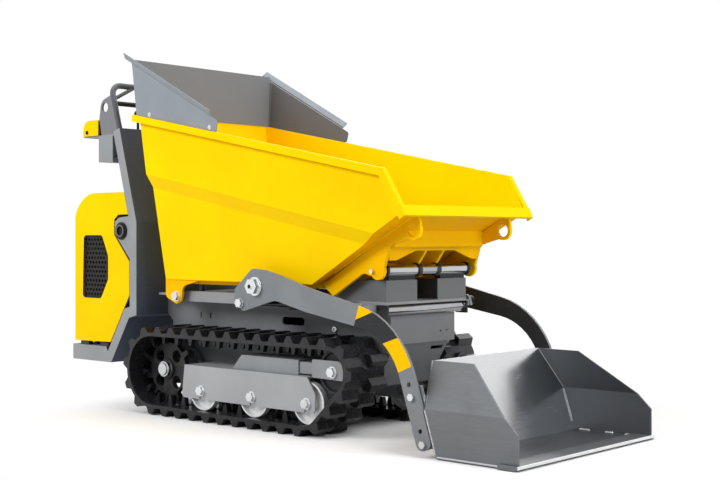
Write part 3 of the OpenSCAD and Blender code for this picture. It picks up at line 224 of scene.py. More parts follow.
# tower's front panels: dark to match their shade, bluish to offset the yellow light from the skip
towerLook = {"half": 0.2838, "foot": 0.10, "rear": -0.86, "front": screen(88, 97, 116)}


def towerFront(f, axes, color):  # panels between the tower's side flanges
    x, y, z = axes
    panel = (abs(y) < towerLook["half"]) * (z > towerLook["foot"]) * (x > towerLook["rear"])
    return f.mix(panel, color, towerLook["front"]), None


tubLook = {"floor": 0.476, "chute": 0.198, "rise": 0.5596, "skin": 0.0012, "under": screen(255, 188, 0)}


def tubUnder(f, axes, color):  # faces under floor and chute, matched to their shade
    x, y, z = axes
    climb = x.calc("MAXIMUM", x - tubLook["chute"], 0) * tubLook["rise"]
    return f.mix(z - climb < tubLook["floor"] + tubLook["skin"], color, tubLook["under"]), None


rimLine = {"rear": Vector((-0.633, 0, 1.062)), "front": Vector((0.542, 0, 0.830))}
rimAlong = (rimLine["front"] - rimLine["rear"]).normalized()
rimUp = Vector((-rimAlong.z, 0, rimAlong.x))


def guardInside(f, axes, color):  # the guard's faces towards the load, matched to their shade
    x, y, z = axes
    up = (x - rimLine["rear"].x) * rimUp.x + (z - rimLine["rear"].z) * rimUp.z
    inside = abs(y) - up * math.tan(guardLook["lean"]) < guardLook["face"]
    shade = f.mix(x < guardLook["back"], guardLook["side"], guardLook["rear"])
    return f.mix(inside, color, shade), None


consoleLook = {"line": 1.0045, "cheek": screen(118, 120, 124)}


def consoleCheeks(f, axes, color):  # the pierced plates above the box, matched to their shade
    x, y, z = axes
    return f.mix(z > consoleLook["line"], color, consoleLook["cheek"]), None


hingeLook = {"axis": (0.440, 0.523), "r": 0.018, "skin": (0.0002, 0.0006), "saddle": 0.4923, "saddleRear": 0.3,
             "inner": 0.0526, "rear": 0.2404, "front": 0.4464, "deck": 0.4246, "pedestalSkin": 0.0008,
             "tube": screen(196, 198, 201), "black": screen(24, 24, 25), "bay": screen(58, 59, 62),
             "pedestal": screen(106, 109, 112)}


def hingeSteel(f, axes, color):  # bare hinge tubes; what lies under them is matched to its shade
    x, y, z = axes
    look = hingeLook
    dx, dz = x - look["axis"][0], z - look["axis"][1]
    tube = 1 - ((dx * dx + dz * dz) ** 0.5).ramp(*[look["r"] + s for s in look["skin"]])
    saddle = z.ramp(look["saddle"], look["saddle"] + paintEdge) * (x > look["saddleRear"])
    above = z > look["deck"]
    pedestal = (x > look["rear"] - look["pedestalSkin"]) * above
    bay = (abs(y) < look["inner"]) * (x > look["rear"]) * (x < look["front"]) * above
    for share, tone in ((pedestal, "pedestal"), (bay, "bay"), (saddle, "black"), (tube, "tube")):
        color = f.mix(share, color, look[tone])
    return color, tube


hubLook = {"axis": (-0.537, 0.15705), "r": (0.0285, 0.0292), "middle": 0.2375, "face": (0.0182, 0.0186),
           "tone": screen(205, 208, 211)}


def hubZinc(f, axes, color):  # plated cap on the sprocket's hub
    x, y, z = axes
    dx, dz = x - hubLook["axis"][0], z - hubLook["axis"][1]
    disc = 1 - ((dx * dx + dz * dz) ** 0.5).ramp(*hubLook["r"])
    cap = disc * abs(abs(y) - hubLook["middle"]).ramp(*hubLook["face"])
    return f.mix(cap, color, hubLook["tone"]), cap


steelGrain = {"hazeScale": 40, "lineScale": 60, "cellSpan": (0.1, 0.7), "hazeRough": 0.16, "lineRough": 0.14,
              "cellBump": 0.3, "bumpDepth": 0.0003, "bandTone": screen(28, 28, 30), "bandRough": 0.2,
              "bandEdge": 0.0002}


def platedSteel(name, look):  # plated or turned steel: fine cells and faint turning marks
    f, grain = Finish(name), steelGrain
    at = f.place()
    cell = f.cells(at, look["cellScale"])
    haze = f.noise(at, grain["hazeScale"], 4)
    line = f.noise(f.stretch(at, look["lines"]), grain["lineScale"], 3)
    color = f.mix(cell.ramp(*grain["cellSpan"]) * 0.5 + haze * 0.5, look["low"], look["high"])
    rough = look["rough"] + (haze - 0.5) * grain["hazeRough"] + (line - 0.5) * grain["lineRough"]
    metal = look.get("metal", 1.0)
    if "bands" in look:  # dark stretches, by their distance from the machine's middle
        x, y, z = f.parts(at)
        soft = grain["bandEdge"]
        band = sum(abs(y).ramp(a - soft, a) - abs(y).ramp(b, b + soft) for a, b in look["bands"])
        color = f.mix(band, color, grain["bandTone"])
        metal = 1 - band
        rough = rough + band * grain["bandRough"]
    return f.surface({"Base Color": color, "Metallic": metal, "Roughness": rough,
                      "Normal": f.bump(line + cell * grain["cellBump"], look["bump"], grain["bumpDepth"])})


zincLook = {"low": screen(214, 217, 220), "high": screen(238, 240, 242), "rough": 0.22, "cellScale": 260,
            "lines": (1, 14, 1), "bump": 0.06}
rollerLook = {"low": screen(226, 227, 229), "high": screen(238, 239, 240), "rough": 0.4, "cellScale": 90,
              "lines": (1, 6, 1), "bump": 0.03, "metal": 0.35}
beadLook = {"low": screen(170, 172, 175), "high": screen(220, 222, 224), "rough": 0.34, "cellScale": 420,
            "lines": (3, 1, 3), "bump": 0.4, "metal": 0.7}
turnedLook = {"low": screen(118, 120, 123), "high": screen(142, 144, 147), "rough": 0.15, "cellScale": 400,
              "lines": (1, 22, 1), "bump": 0.06}
shaftLook = dict(turnedLook, low=screen(158, 160, 163), high=screen(184, 186, 189),
                 bands=((0.0400, 0.0556), (0.2004, 0.2092)))
barLook = dict(shaftLook, bands=((0.1970, 0.3),))
# painted shade: the lift rods wear a dark steel tone that stands in for the shadow under the arms
rodShadeLook = dict(turnedLook, low=screen(44, 45, 48), high=screen(58, 59, 62))
chromeLook = {"low": screen(222, 225, 228), "high": screen(238, 240, 242), "rough": 0.12, "cellScale": 700,
              "lines": (18, 1, 18), "bump": 0.02}

plateLook = {"low": screen(119, 122, 125), "high": screen(128, 131, 134), "scale": screen(106, 109, 113),
             "scratch": screen(156, 158, 161), "rough": 0.36, "bump": 0.05, "metal": 0.75,
             "bright": screen(226, 228, 230), "brightRough": 0.22, "brightMetal": 1.0, "inner": 0.3585,
             "shade": screen(102, 105, 109)}
wallLook = {"back": 0.77325, "slope": 0.3209, "skin": (0.0012, 0.0016), "half": 0.3545, "fold": 0.139,
            "lean": 0.6512}
edgeLook = dict(plateLook, bright=screen(238, 239, 240), brightRough=0.36, brightMetal=0.3, inner=0,
                front=(1.0502, 1.0508))
rollGrain = {"rollStretch": (3, 3, 110), "rollScale": 5, "rollSpan": (0.25, 0.75), "cloudScale": 9,
             "cloudSpan": (0.52, 0.78), "cloud": 0.45, "scratchStretch": (9, 60, 140), "scratchScale": 4,
             "scratchSpan": (0.70, 0.76), "scratch": 0.15, "footScratch": 0.3, "foot": (0.11, 0.01),
             "bareAndGleam": 0.85, "cloudRough": 0.22, "rollRough": 0.16, "scratchBump": 0.4, "bumpDepth": 0.0005}


def backWall(x, y, z):  # inner face of the bucket's back, matched to its gleam in the photograph: painted reflection
    off = abs(x + z * wallLook["slope"] - wallLook["back"])
    return (1 - off.ramp(*wallLook["skin"])) * (abs(y) < wallLook["half"])


def groundFace(x, y, z):  # bright front face of the cutting edge
    return x.ramp(*edgeLook["front"])


def rolledPlate(name, look, polishedAndGleam):  # bucket steel: rolling lines, mill scale clouds and fine scratches, painted shade inside and one brighter face
    f, grain = Finish(name), rollGrain
    at = f.place()
    roll = f.noise(f.stretch(at, grain["rollStretch"]), grain["rollScale"], 5, 0.6)
    cloud = f.noise(at, grain["cloudScale"], 4)
    scratch = f.noise(f.stretch(at, grain["scratchStretch"]), grain["scratchScale"], 6, 0.7)
    scratch = scratch.ramp(*grain["scratchSpan"])
    x, y, z = f.parts(at)
    bareAndGleam = polishedAndGleam(x, y, z)
    color = f.mix(roll.ramp(*grain["rollSpan"]), look["low"], look["high"])
    color = f.mix(cloud.ramp(*grain["cloudSpan"]) * grain["cloud"], color, look["scale"])
    reach = abs(y) + z.calc("MAXIMUM", z - wallLook["fold"], 0) * wallLook["lean"]
    color = f.mix(reach < look["inner"], color, look["shade"])  # inside, matched to its shade
    marks = scratch * (grain["scratch"] + z.ramp(*grain["foot"]) * grain["footScratch"])
    color = f.mix(marks, color, look["scratch"])
    # brighter face: on the back wall a painted reflection over real smoother, fully metal steel; on the cutting
    # edge its bright front face
    color = f.mix(bareAndGleam * (grain["bareAndGleam"] + roll * (1 - grain["bareAndGleam"])), color, look["bright"])
    metal = look["metal"] + bareAndGleam * (look["brightMetal"] - look["metal"])
    rough = look["rough"] + (cloud - 0.5) * grain["cloudRough"] + (roll - 0.5) * grain["rollRough"]
    rough = rough + bareAndGleam * (look["brightRough"] - look["rough"])
    height = roll - scratch * grain["scratchBump"]
    return f.surface({"Base Color": color, "Metallic": metal, "Roughness": rough,
                      "Normal": f.bump(height, look["bump"], grain["bumpDepth"])})


rubberLook = {"low": screen(30, 30, 32), "high": screen(41, 41, 44), "dust": screen(84, 84, 87), "rough": 0.25,
              "gloss": 0.36, "bump": 0.1, "grainScale": 900, "grain": 0.4, "patchScale": 38,
              "patchSpan": (0.3, 0.72), "dustSpan": (0.3, 0.7), "patchRough": 0.25, "scuffStretch": (1, 4, 1),
              "scuffScale": 55, "scuffSpan": (0.54, 0.76), "treadSpan": (0.012, 0.0), "tread": 0.2,
              "treadRough": 0.4, "bumpDepth": 0.001}


def trackRubber(name, look):  # moulded rubber: grain, scuffs and a little dust on the treads
    f = Finish(name)
    at = f.place()
    grain = f.noise(at, look["grainScale"], 3)
    patch = f.noise(at, look["patchScale"], 5, 0.6)
    scuff = f.noise(f.stretch(at, look["scuffStretch"]), look["scuffScale"], 5, 0.65)
    x, y, z = f.parts(at)
    tread = (scuff.ramp(*look["scuffSpan"]) + z.ramp(*look["treadSpan"])) * look["tread"]
    color = f.mix(patch.ramp(*look["patchSpan"]), look["low"], look["high"])
    color = f.mix(tread * patch.ramp(*look["dustSpan"]), color, look["dust"])
    rough = look["rough"] + (patch - 0.5) * look["patchRough"] + tread * look["treadRough"]
    return f.surface({"Base Color": color, "Roughness": rough, "Specular IOR Level": look["gloss"],
                      "Normal": f.bump(grain * look["grain"] + patch, look["bump"], look["bumpDepth"])})


castLook = {"low": screen(44, 46, 48), "high": screen(66, 68, 70), "rough": 0.56, "bump": 0.4, "sandScale": 420,
            "sandRough": 0.3, "cloudScale": 14, "cloudSpan": (0.3, 0.7), "bumpDepth": 0.0008}


def sandCasting(name, look):  # painted casting with a sandy skin
    f = Finish(name)
    at = f.place()
    sand = f.noise(at, look["sandScale"], 4)
    cloud = f.noise(at, look["cloudScale"], 3)
    color = f.mix(cloud.ramp(*look["cloudSpan"]), look["low"], look["high"])
    rough = look["rough"] + (sand - 0.5) * look["sandRough"]
    return f.surface({"Base Color": color, "Roughness": rough,
                      "Normal": f.bump(sand, look["bump"], look["bumpDepth"])})


plasticLook = {"low": screen(22, 22, 23), "high": screen(32, 32, 33), "rough": 0.42, "gloss": 0.25, "bump": 0.2,
               "grainScale": 1100, "cloudScale": 20, "cloudRough": 0.15, "bumpDepth": 0.0004}


def grainedPlastic(name, look):  # moulded plastic with a fine leather grain
    f = Finish(name)
    at = f.place()
    grain = f.cells(at, look["grainScale"])
    cloud = f.noise(at, look["cloudScale"], 3)
    color = f.mix(cloud, look["low"], look["high"])
    rough = look["rough"] + (cloud - 0.5) * look["cloudRough"]
    return f.surface({"Base Color": color, "Roughness": rough, "Specular IOR Level": look["gloss"],
                      "Normal": f.bump(grain, look["bump"], look["bumpDepth"])})


finishes = {
    "yellow": powderCoat("yellowCoat", yellowLook),
    "tub": powderCoat("tubCoat", yellowLook, tubUnder),
    "hood": powderCoat("hoodCoat", hoodLook),
    "under": powderCoat("underCoat", underLook),
    "grey": powderCoat("greyCoat", greyLook),
    "frame": powderCoat("frameCoat", frameLook),
    "dark": powderCoat("darkCoat", darkLook),
    "black": powderCoat("blackCoat", blackLook),
    "guard": powderCoat("guardCoat", guardLook, guardInside),
    "console": powderCoat("consoleCoat", greyLook, consoleCheeks),
    "arm": powderCoat("stripedArm", armCoat, armStripes),
    "deck": powderCoat("deckCoat", greyLook, hingeSteel),
    "tower": powderCoat("towerCoat", greyLook, towerFront),
    "sprocket": powderCoat("sprocketCoat", blackLook, hubZinc),
    "hoop": powderCoat("hoopCoat", hoopLook, gripBlack),
    "zinc": platedSteel("zincPlate", zincLook),
    "roller": platedSteel("turnedRoller", rollerLook),
    "bead": platedSteel("weldBead", beadLook),
    "turned": platedSteel("turnedSteel", turnedLook),
    "chrome": platedSteel("chromedSteel", chromeLook),
    "shaft": platedSteel("hingeShaft", shaftLook),
    "bar": platedSteel("crossBar", barLook),
    "shadedRod": platedSteel("rodPaintedShade", rodShadeLook),
    "plate": rolledPlate("rolledPlate", plateLook, backWall),
    "edge": rolledPlate("wearEdge", edgeLook, groundFace),
    "rubber": trackRubber("trackRubber", rubberLook),
    "cast": sandCasting("sandCasting", castLook),
    "plastic": grainedPlastic("grainedPlastic", plasticLook),
}
print("finishes made:", len(finishes))

# which finish each CAD node wears, and how wide its edges are broken, in metres
dressing = {
    "tub": (["skip_tub"], 0.0012),
    "yellow": (["skip_rim"], 0.0012),
    "under": (["skip_underframe"], 0.0012),
    "hood": (["hood_shell", "console_cover"], 0.0012),
    "grey": (["tension_beam_left", "tension_beam_right", "idler_fork_left", "idler_fork_right"], 0.001),
    "guard": (["guard_sides", "guard_rear"], 0.001),
    "console": (["console"], 0.001),
    "frame": (["track_frame_left", "track_frame_right"], 0.001),
    "tower": (["rear_frame"], 0.001),
    "deck": (["upper_deck"], 0.0012),
    "arm": (["arm_left", "arm_right"], 0.0014),
    "dark": (["chassis_box", "drive_motor_left", "drive_motor_right"], 0.001),
    "black": (["idler_left", "idler_right", "tip_barrel", "lift_barrel_left", "lift_barrel_right"], 0.001),
    "hoop": (["handle_rail"], 0.001),
    "sprocket": (["sprocket_left", "sprocket_right"], 0.0015),
    "zinc": (["track_axles_left", "track_axles_right", "arm_pivot_pins", "skip_bolts", "loader_bolts"], 0.0012),
    "roller": (["roller_front_left", "roller_middle_left", "roller_rear_left",
                "roller_front_right", "roller_middle_right", "roller_rear_right"], 0.0012),
    "turned": (["muffler"], 0.001),
    "shaft": (["hinge_shaft"], 0.001),
    "bar": (["cross_bar"], 0.001),
    "chrome": (["tip_rod"], 0.0008),
    # the lift rods wear painted shade
    "shadedRod": (["lift_rod_left", "lift_rod_right"], 0.0008),
    "plate": (["bucket_shell", "bucket_brackets"], 0.001),
    "edge": (["cutting_edge"], 0.0012),
    "rubber": (["track_belt_left", "track_belt_right", "rubber_buffers"], 0.0018),
    "cast": (["engine", "hydraulic_pump"], 0.002),
    "plastic": (["filler_port", "hydraulic_tank", "hood_grilles", "travel_lever_left", "travel_lever_right",
                 "function_lever"], 0.0008),
}
brokenEdge = {"merge": 0.00002, "flat": math.radians(0.4), "angle": math.radians(12.5), "segments": 2}


def breakEdges(obj, width, flatten):  # joins the split corners, then rounds every edge a little
    weld = obj.modifiers.new("weld", "WELD")
    weld.merge_threshold = brokenEdge["merge"]
    if flatten:
        flat = obj.modifiers.new("flat", "DECIMATE")
        flat.decimate_type = "DISSOLVE"
        flat.angle_limit = brokenEdge["flat"]
    bevel = obj.modifiers.new("broken edge", "BEVEL")
    bevel.width = width
    bevel.segments = brokenEdge["segments"]
    bevel.limit_method = "ANGLE"
    bevel.angle_limit = brokenEdge["angle"]
    bevel.use_clamp_overlap = True
    bevel.miter_outer = "MITER_ARC"
    even = obj.modifiers.new("even", "WEIGHTED_NORMAL")
    even.weight = 100
    even.keep_sharp = False


for finish, (members, width) in dressing.items():
    for name in members:
        obj = nodes[name]
        if obj.material_slots:
            obj.material_slots[0].material = finishes[finish]
        else:
            obj.data.materials.append(finishes[finish])
        breakEdges(obj, width, finish != "rubber")
undressed = set(nodes) - {n for members, width in dressing.values() for n in members}
print("CAD nodes dressed:", len(nodes) - len(undressed), "left:", sorted(undressed))

creaseAngle = math.radians(38)  # edges sharper than this stay sharp on mesh pieces


def piece(name, bm, finish, body):  # a mesh piece that rides on a body
    bmesh.ops.recalc_face_normals(bm, faces=bm.faces)
    for face in bm.faces:
        face.smooth = True
    for edge in bm.edges:
        edge.smooth = len(edge.link_faces) < 2 or edge.calc_face_angle(0) < creaseAngle
    mesh = bpy.data.meshes.new(name)
    bm.to_mesh(mesh)
    bm.free()
    mesh.materials.append(finishes[finish])
    obj = bpy.data.objects.new(name, mesh)
    bpy.context.scene.collection.objects.link(obj)
    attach(obj, body)


def bridge(bm, a, b):  # a band of faces between two loops of vertices
    for i in range(max(len(a), len(b))):
        j = i + 1
        corners = [a[i % len(a)], a[j % len(a)], b[j % len(b)], b[i % len(b)]]
        bm.faces.new(list(dict.fromkeys(corners)))


def turn(bm, profile, spot, axis, steps=24, phase=0.0, ring=False):  # (radius, height) pairs about an axis
    lay = Vector((0, 0, 1)).rotation_difference(Vector(axis)).to_matrix()
    loops = []
    for r, h in profile:
        angles = [0] if r == 0 else [phase + 2 * math.pi * i / steps for i in range(steps)]
        points = [Vector((r * math.cos(a), r * math.sin(a), h)) for a in angles]
        loops.append([bm.verts.new(Vector(spot) + lay @ p) for p in points])
    for a, b in zip(loops, loops[1:] + (loops[:1] if ring else [])):
        bridge(bm, a, b)
    for end in (loops[0], loops[-1]):
        if len(end) > 1 and not ring:
            bm.faces.new(end)


boltForm = {"washer": 0.0017, "break": 0.0004, "sink": 0.0001, "shoulder": 0.82, "chamfer": 0.86, "phase": 0.26,
            "crown": (0.62, 0.58), "crownHeight": 0.0004}


def hexBolt(bm, spot, axis, flats, height, washer):  # washer, chamfered head and its raised top
    form = boltForm
    spot, axis = Vector(spot), Vector(axis)
    r, t, c = flats / math.sqrt(3), form["washer"], form["break"]
    turn(bm, [(washer - c, 0), (washer, c), (washer, t - c), (washer - c, t)], spot, axis)
    seat = spot + axis * (t - form["sink"])
    head = [(r, 0), (r, height * form["shoulder"]), (r * form["chamfer"], height)]
    turn(bm, head, seat, axis, 6, form["phase"])
    low, top = form["crown"]
    turn(bm, [(r * low, 0), (r * top, form["crownHeight"])], seat + axis * height, axis)


screwForm = {"chamfer": 0.14, "socket": (0.56, 0.5), "floor": (0.4, 0.36)}


def socketScrew(bm, spot, axis, r, height):  # round head with a recess
    c = r * screwForm["chamfer"]
    (mouth, foot), (rim, middle) = screwForm["socket"], screwForm["floor"]
    turn(bm, [(r, 0), (r, height - c), (r - c, height), (r * mouth, height), (r * foot, height * rim),
              (0, height * middle)], spot, axis)


def tube(bm, path, radii, facets, closed=False):  # round section swept along points, one radius for each
    path = [Vector(p) for p in path]
    n = len(path)
    turns = [2 * math.pi * k / facets for k in range(facets)]
    loops, side = [], None
    for i, (p, r) in enumerate(zip(path, radii)):
        before = path[i - 1] if i or closed else p
        after = path[(i + 1) % n] if i < n - 1 or closed else p
        along = (after - before).normalized()
        if side is None:
            side = along.orthogonal().normalized()
        side = (side - along * side.dot(along)).normalized()
        other = along.cross(side)
        loops.append([bm.verts.new(p + r * (math.cos(t) * side + math.sin(t) * other)) for t in turns])
    for a, b in zip(loops, loops[1:] + (loops[:1] if closed else [])):
        bridge(bm, a, b)
    if not closed:
        bm.faces.new(loops[0])
        bm.faces.new(loops[-1])


beadForm = {"pitch": 0.42, "shake": 0.07, "swell": 0.16, "beat": 3.4, "start": 0.45, "grow": 0.28, "vary": 0.05,
            "facets": 8}


def weldBead(bm, a, b, radius, rng):  # overlapping ripples laid from a to b, half sunk in the corner
    form = beadForm
    a, b = Vector(a), Vector(b)
    steps = max(6, int((b - a).length / (radius * form["pitch"])))
    path, radii = [], []
    for i in range(steps + 1):
        shake = Vector([rng.uniform(-1, 1) for k in range(3)])
        path.append(a.lerp(b, i / steps) + shake * radius * form["shake"])
        swell = 1 - form["swell"] + form["swell"] * abs(math.sin(math.pi * i / form["beat"]))
        end = min(1, form["start"] + form["grow"] * min(i, steps - i))
        radii.append(radius * swell * end * rng.uniform(1 - form["vary"], 1 + form["vary"]))
    tube(bm, path, radii, form["facets"])


def roundedOutline(points, radii, step=math.radians(7.5)):  # closed outline with rounded corners
    out = []
    for i, q in enumerate(points):
        p, q, r = Vector(points[i - 1]), Vector(q), Vector(points[(i + 1) % len(points)])
        u, v = (p - q).normalized(), (r - q).normalized()
        half = u.angle(v) / 2
        centre = q + (u + v).normalized() * radii[i] / math.sin(half)
        a = q + u * radii[i] / math.tan(half) - centre
        b = q + v * radii[i] / math.tan(half) - centre
        sweep = a.angle_signed(b) * -1
        count = max(2, math.ceil(abs(sweep) / step))
        out += [centre + Matrix.Rotation(sweep * k / count, 2) @ a for k in range(count + 1)]
    return out


sides = (-1, 1)


def onRim(along, out, up):  # a place measured along the skip's rim
    return rimLine["rear"] + rimAlong * along + rimUp * up + Vector((0, out, 0))


guardBolts = {"along": (0.089, 0.411), "up": 0.012, "face": 0.3252, "flats": 0.010, "height": 0.004,
              "washer": 0.0085}


def addGuardBolts(look):
    bm = bmesh.new()
    lean = guardLook["lean"]
    for s in sides:
        axis = Vector((0, s * math.cos(lean), 0)) - rimUp * math.sin(lean)
        for along in look["along"]:
            spot = onRim(along, s * look["face"], look["up"])
            hexBolt(bm, spot, axis, look["flats"], look["height"], look["washer"])
    piece("guardBolts", bm, "zinc", "skip")


coverScrews = {"spot": (-0.9625, 0.285, 1.0174), "r": 0.0072, "height": 0.004}


def addCoverScrews(look):
    bm = bmesh.new()
    x, y, z = look["spot"]
    for s in sides:
        socketScrew(bm, (x, s * y, z), (0, s, 0), look["r"], look["height"])
    piece("coverScrews", bm, "black", "chassis")


consoleBlock = {"x": (-0.812, -0.780), "y": (0.214, 0.280), "z": (0.8995, 0.9195), "corner": 0.004,
                "step": math.radians(20)}


def addConsoleBlocks(look):  # dark rubber blocks between the console's box and the tower
    bm = bmesh.new()
    (x0, x1), (y0, y1), (z0, z1), c = look["x"], look["y"], look["z"], look["corner"]
    for s in sides:
        loops = []
        for inset, y in ((c / 2, y0), (0, y0 + c / 2), (0, y1 - c / 2), (c / 2, y1)):
            left, right, foot, top = x0 + inset, x1 - inset, z0 + inset, z1 - inset
            corners = [(left, foot), (right, foot), (right, top), (left, top)]
            outline = roundedOutline(corners, [c] * 4, look["step"])
            loops.append([bm.verts.new((p.x, s * y, p.y)) for p in outline])
        for a, b in zip(loops, loops[1:]):
            bridge(bm, a, b)
        bm.faces.new(loops[0])
        bm.faces.new(loops[-1])
    piece("consoleBlocks", bm, "rubber", "chassis")


chassisScrews = {"spot": (0.1743, 0.138, 0.3259), "r": 0.0105, "height": 0.007}


def addChassisScrews(look):
    bm = bmesh.new()
    x, y, z = look["spot"]
    for s in sides:
        socketScrew(bm, (x, s * y, z), (0, s, 0), look["r"], look["height"])
    piece("chassisScrews", bm, "zinc", "chassis")


# dome: shares of the radius, and heights in metres
pivotPlugs = {"spot": (0.003, 0.362, 0.467), "r": 0.0068,
              "dome": ((1, -0.0004), (1, 0.0006), (0.8, 0.0012), (0.5, 0.0007), (0, 0.0005))}


def addPivotPlugs(look):  # dark plugs in the ends of the arm pins
    bm = bmesh.new()
    x, y, z = look["spot"]
    for s in sides:
        turn(bm, [(look["r"] * share, h) for share, h in look["dome"]], (x, s * y, z), (0, s, 0))
    piece("pivotPlugs", bm, "plastic", "chassis")


grilleTrim = {"outline": ((-0.987, 0.400), (-0.880, 0.400), (-0.838, 0.470), (-0.838, 0.556), (-0.874, 0.630),
                          (-0.980, 0.630)),
              "radii": (0.012, 0.014, 0.030, 0.030, 0.014, 0.012), "face": 0.2850, "r": 0.0026, "facets": 8}


def addGrilleTrim(look):  # rubber edging round the hood's side openings
    line = roundedOutline(look["outline"], look["radii"])
    bm = bmesh.new()
    for s in sides:
        path = [(p.x, s * look["face"], p.y) for p in line]
        tube(bm, path, [look["r"]] * len(path), look["facets"], True)
    piece("grilleTrim", bm, "plastic", "hood")


portRing = {"spot": (-0.754, -0.294, 0.648), "inner": 0.0175, "outer": 0.0215, "height": 0.002, "break": 0.0008,
            "steps": 40}


def addPortRing(look):  # bright ring in the filler's mouth
    bm = bmesh.new()
    a, b, h, c = look["inner"], look["outer"], look["height"], look["break"]
    profile = [(a, 0), (b, 0), (b, h - c), (b - c, h), (a + c, h), (a, h - c)]
    turn(bm, profile, look["spot"], (0, -1, 0), look["steps"], ring=True)
    piece("portRing", bm, "turned", "chassis")


bucketWelds = {"r": 0.0034, "seed": 5, "half": 0.361, "back": 0.768, "slope": 0.3209, "foot": 0.0065,
               "footRun": (0.768791, 0.982), "seam": (0.012, 0.136), "seamShare": 0.8, "inset": 0.007,
               "corner": (0.03, 0.135), "cornerOut": 0.0065, "stitchFoot": 0.0075, "stitchShare": 1.2,
               "stitches": ((0.79, 0.83), (0.885, 0.915), (0.955, 0.985))}


def addBucketWelds(look):
    bm = bmesh.new()
    rng = random.Random(look["seed"])
    r = look["r"]

    def up(y, z, out=0.0):  # a place on the back wall's line
        return (look["back"] - look["slope"] * z + out, y, z)
    for s in sides:
        outer, inner = s * look["half"], s * (look["half"] - look["inset"])
        a, b = look["footRun"]
        weldBead(bm, (a, outer, look["foot"]), (b, outer, look["foot"]), r, rng)
        a, b = look["seam"]
        weldBead(bm, up(outer, a), up(outer, b), r * look["seamShare"], rng)
        a, b = look["corner"]
        weldBead(bm, up(inner, a, look["cornerOut"]), up(inner, b, look["cornerOut"]), r, rng)
        for a, b in look["stitches"]:
            spots = [(x, inner, look["stitchFoot"]) for x in (a, b)]
            weldBead(bm, *spots, r * look["stitchShare"], rng)
    piece("bucketWelds", bm, "bead", "loader")


skipWelds = {"r": 0.0032, "seed": 9, "face": 0.238, "sink": 0.001, "run": (0.262, 0.585)}


def addSkipWelds(look):  # beads where the hinge gussets meet the chute
    bm = bmesh.new()
    rng = random.Random(look["seed"])

    def under(x, y):
        return (x, y, tubLook["floor"] + (x - tubLook["chute"]) * tubLook["rise"] - look["sink"])
    for s in sides:
        a, b = [under(x, s * look["face"]) for x in look["run"]]
        weldBead(bm, a, b, look["r"], rng)
    piece("skipWelds", bm, "yellow", "skip")


deckWelds = {"seed": 3, "run": (0.250, 0.443), "top": 0.424, "beads": ((0.203, 0.00186), (0.052, 0.003))}


def addDeckWelds(look):  # beads at the foot of the hinge pedestals, by their place across and their radius
    bm = bmesh.new()
    rng = random.Random(look["seed"])
    a, b = look["run"]
    for s in sides:
        for y, r in look["beads"]:
            weldBead(bm, (a, s * y, look["top"]), (b, s * y, look["top"]), r, rng)
    piece("deckWelds", bm, "grey", "chassis")


addGuardBolts(guardBolts)
addCoverScrews(coverScrews)
addConsoleBlocks(consoleBlock)
addChassisScrews(chassisScrews)
addPivotPlugs(pivotPlugs)
addGrilleTrim(grilleTrim)
addPortRing(portRing)
addBucketWelds(bucketWelds)
addSkipWelds(skipWelds)
addDeckWelds(deckWelds)
print("small pieces made")

cameraLook = {"spot": (2.9773, -3.1662, 0.6316), "azimuth": 41.68, "elevation": 0.21, "lens": 63.367,
              "sensor": 36, "reach": 200}


def aimed(spot, along):  # a camera's or lamp's matrix at a spot, looking along a direction
    return Matrix.Translation(spot) @ along.to_track_quat("-Z", "Y").to_matrix().to_4x4()


def addCamera(look):
    data = bpy.data.cameras.new("studioCamera")
    data.lens = look["lens"]
    data.sensor_width = look["sensor"]
    data.sensor_fit = "HORIZONTAL"
    data.clip_end = look["reach"]
    camera = bpy.data.objects.new("studioCamera", data)
    az, el = math.radians(look["azimuth"]), math.radians(look["elevation"])
    back = Vector((math.sin(az) * math.cos(el), -math.cos(az) * math.cos(el), math.sin(el)))
    camera.matrix_world = aimed(look["spot"], -back)
    bpy.context.scene.collection.objects.link(camera)
    bpy.context.scene.camera = camera


white = (1, 1, 1, 1)
floorLook = {"reach": 40.0, "drop": 0.0004, "shown": (0.92, 0.92, 0.92, 1), "bounce": (0.58, 0.58, 0.58, 1),
             "centre": 0.22, "blend": (0.88, 1.3)}


def lightPaths(f, *kinds):
    path = f.node("LightPath", {}, {}).socket.node
    return [Val(f, path.outputs["Is " + kind + " Ray"]) for kind in kinds]


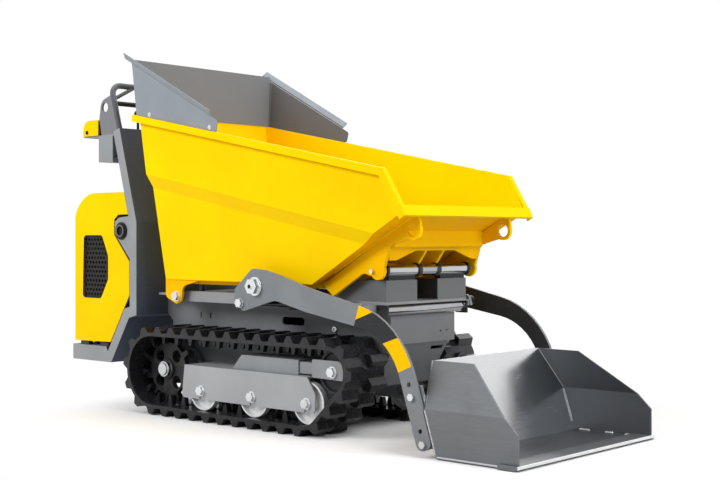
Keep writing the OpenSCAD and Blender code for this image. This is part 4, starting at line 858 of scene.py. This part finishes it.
def addFloor(look):  # plain pale floor that runs out to white
    mesh = bpy.data.meshes.new("studioFloor")
    r = look["reach"]
    mesh.from_pydata([(-r, -r, 0), (r, -r, 0), (r, r, 0), (-r, r, 0)], [], [(0, 1, 2, 3)])
    floor = bpy.data.objects.new("studioFloor", mesh)
    floor.location.z = -look["drop"]
    bpy.context.scene.collection.objects.link(floor)
    f = Finish("studioFloor")
    camera, glossy = lightPaths(f, "Camera", "Glossy")
    x, y, z = f.parts(f.place())
    x = x - look["centre"]
    away = ((x * x + y * y) ** 0.5).ramp(*look["blend"])
    bounce = f.node("BsdfDiffuse", {}, {"Color": look["bounce"]})
    matte = f.node("BsdfDiffuse", {}, {"Color": look["shown"]})
    plain = f.node("Emission", {}, {"Color": white, "Strength": 1.0})
    shown = f.node("MixShader", {}, {0: away, 1: matte, 2: plain})
    seen = f.node("MixShader", {}, {0: camera + glossy * away, 1: bounce, 2: shown})
    f.node("OutputMaterial", {}, {"Surface": seen})
    floor.data.materials.append(f.mat)


# lamps that are not mirrored leave no glare on bare steel
lampLook = {
    "keySoftbox": {"spot": (-1.9, -4.7, 3.1), "aim": (0.0, 0.0, 0.5), "size": (3.2, 2.4), "watts": 236,
                   "mirrored": False},
    "frontSoftbox": {"spot": (3.2, -0.1, 3.4), "aim": (0.3, 0.0, 0.5), "size": (2.4, 2.0), "watts": 100,
                     "mirrored": True},
    "lowSoftbox": {"spot": (4.3, 0.7, 0.8), "aim": (0.3, 0.0, 0.5), "size": (2.0, 1.0), "watts": 42,
                   "mirrored": False},
    "leftSoftbox": {"spot": (-1.4, 4.8, 2.4), "aim": (0.0, 0.0, 0.5), "size": (3.0, 2.0), "watts": 80,
                    "mirrored": True},
    "topSoftbox": {"spot": (-0.4, 0.0, 4.4), "aim": (0.0, 0.0, 0.4), "size": (3.6, 2.8), "watts": 56,
                   "mirrored": True},
}


def addLamps(looks):
    for name, look in looks.items():
        data = bpy.data.lights.new(name, "AREA")
        data.shape = "RECTANGLE"
        data.size, data.size_y = look["size"]
        data.energy = look["watts"]
        lamp = bpy.data.objects.new(name, data)
        lamp.visible_glossy = look["mirrored"]
        lamp.matrix_world = aimed(look["spot"], Vector(look["aim"]) - Vector(look["spot"]))
        bpy.context.scene.collection.objects.link(lamp)


skyLook = {"fill": 0.26, "shown": 1.0}


def addSky(look):  # soft fill for the machine, plain white for whoever looks
    world = bpy.data.worlds.new("studioSky")
    bpy.context.scene.world = world
    f = Finish("studioSky", world)
    camera, glossy, through = lightPaths(f, "Camera", "Glossy", "Transmission")
    fill = f.node("Background", {}, {"Color": white, "Strength": look["fill"]})
    shown = f.node("Background", {}, {"Color": white, "Strength": look["shown"]})
    seen = f.node("MixShader", {}, {0: camera + glossy + through, 1: fill, 2: shown})
    f.node("OutputWorld", {}, {"Surface": seen})


addCamera(cameraLook)
addFloor(floorLook)
addLamps(lampLook)
addSky(skyLook)
bpy.context.scene.view_settings.view_transform = "Standard"
print("studio set")
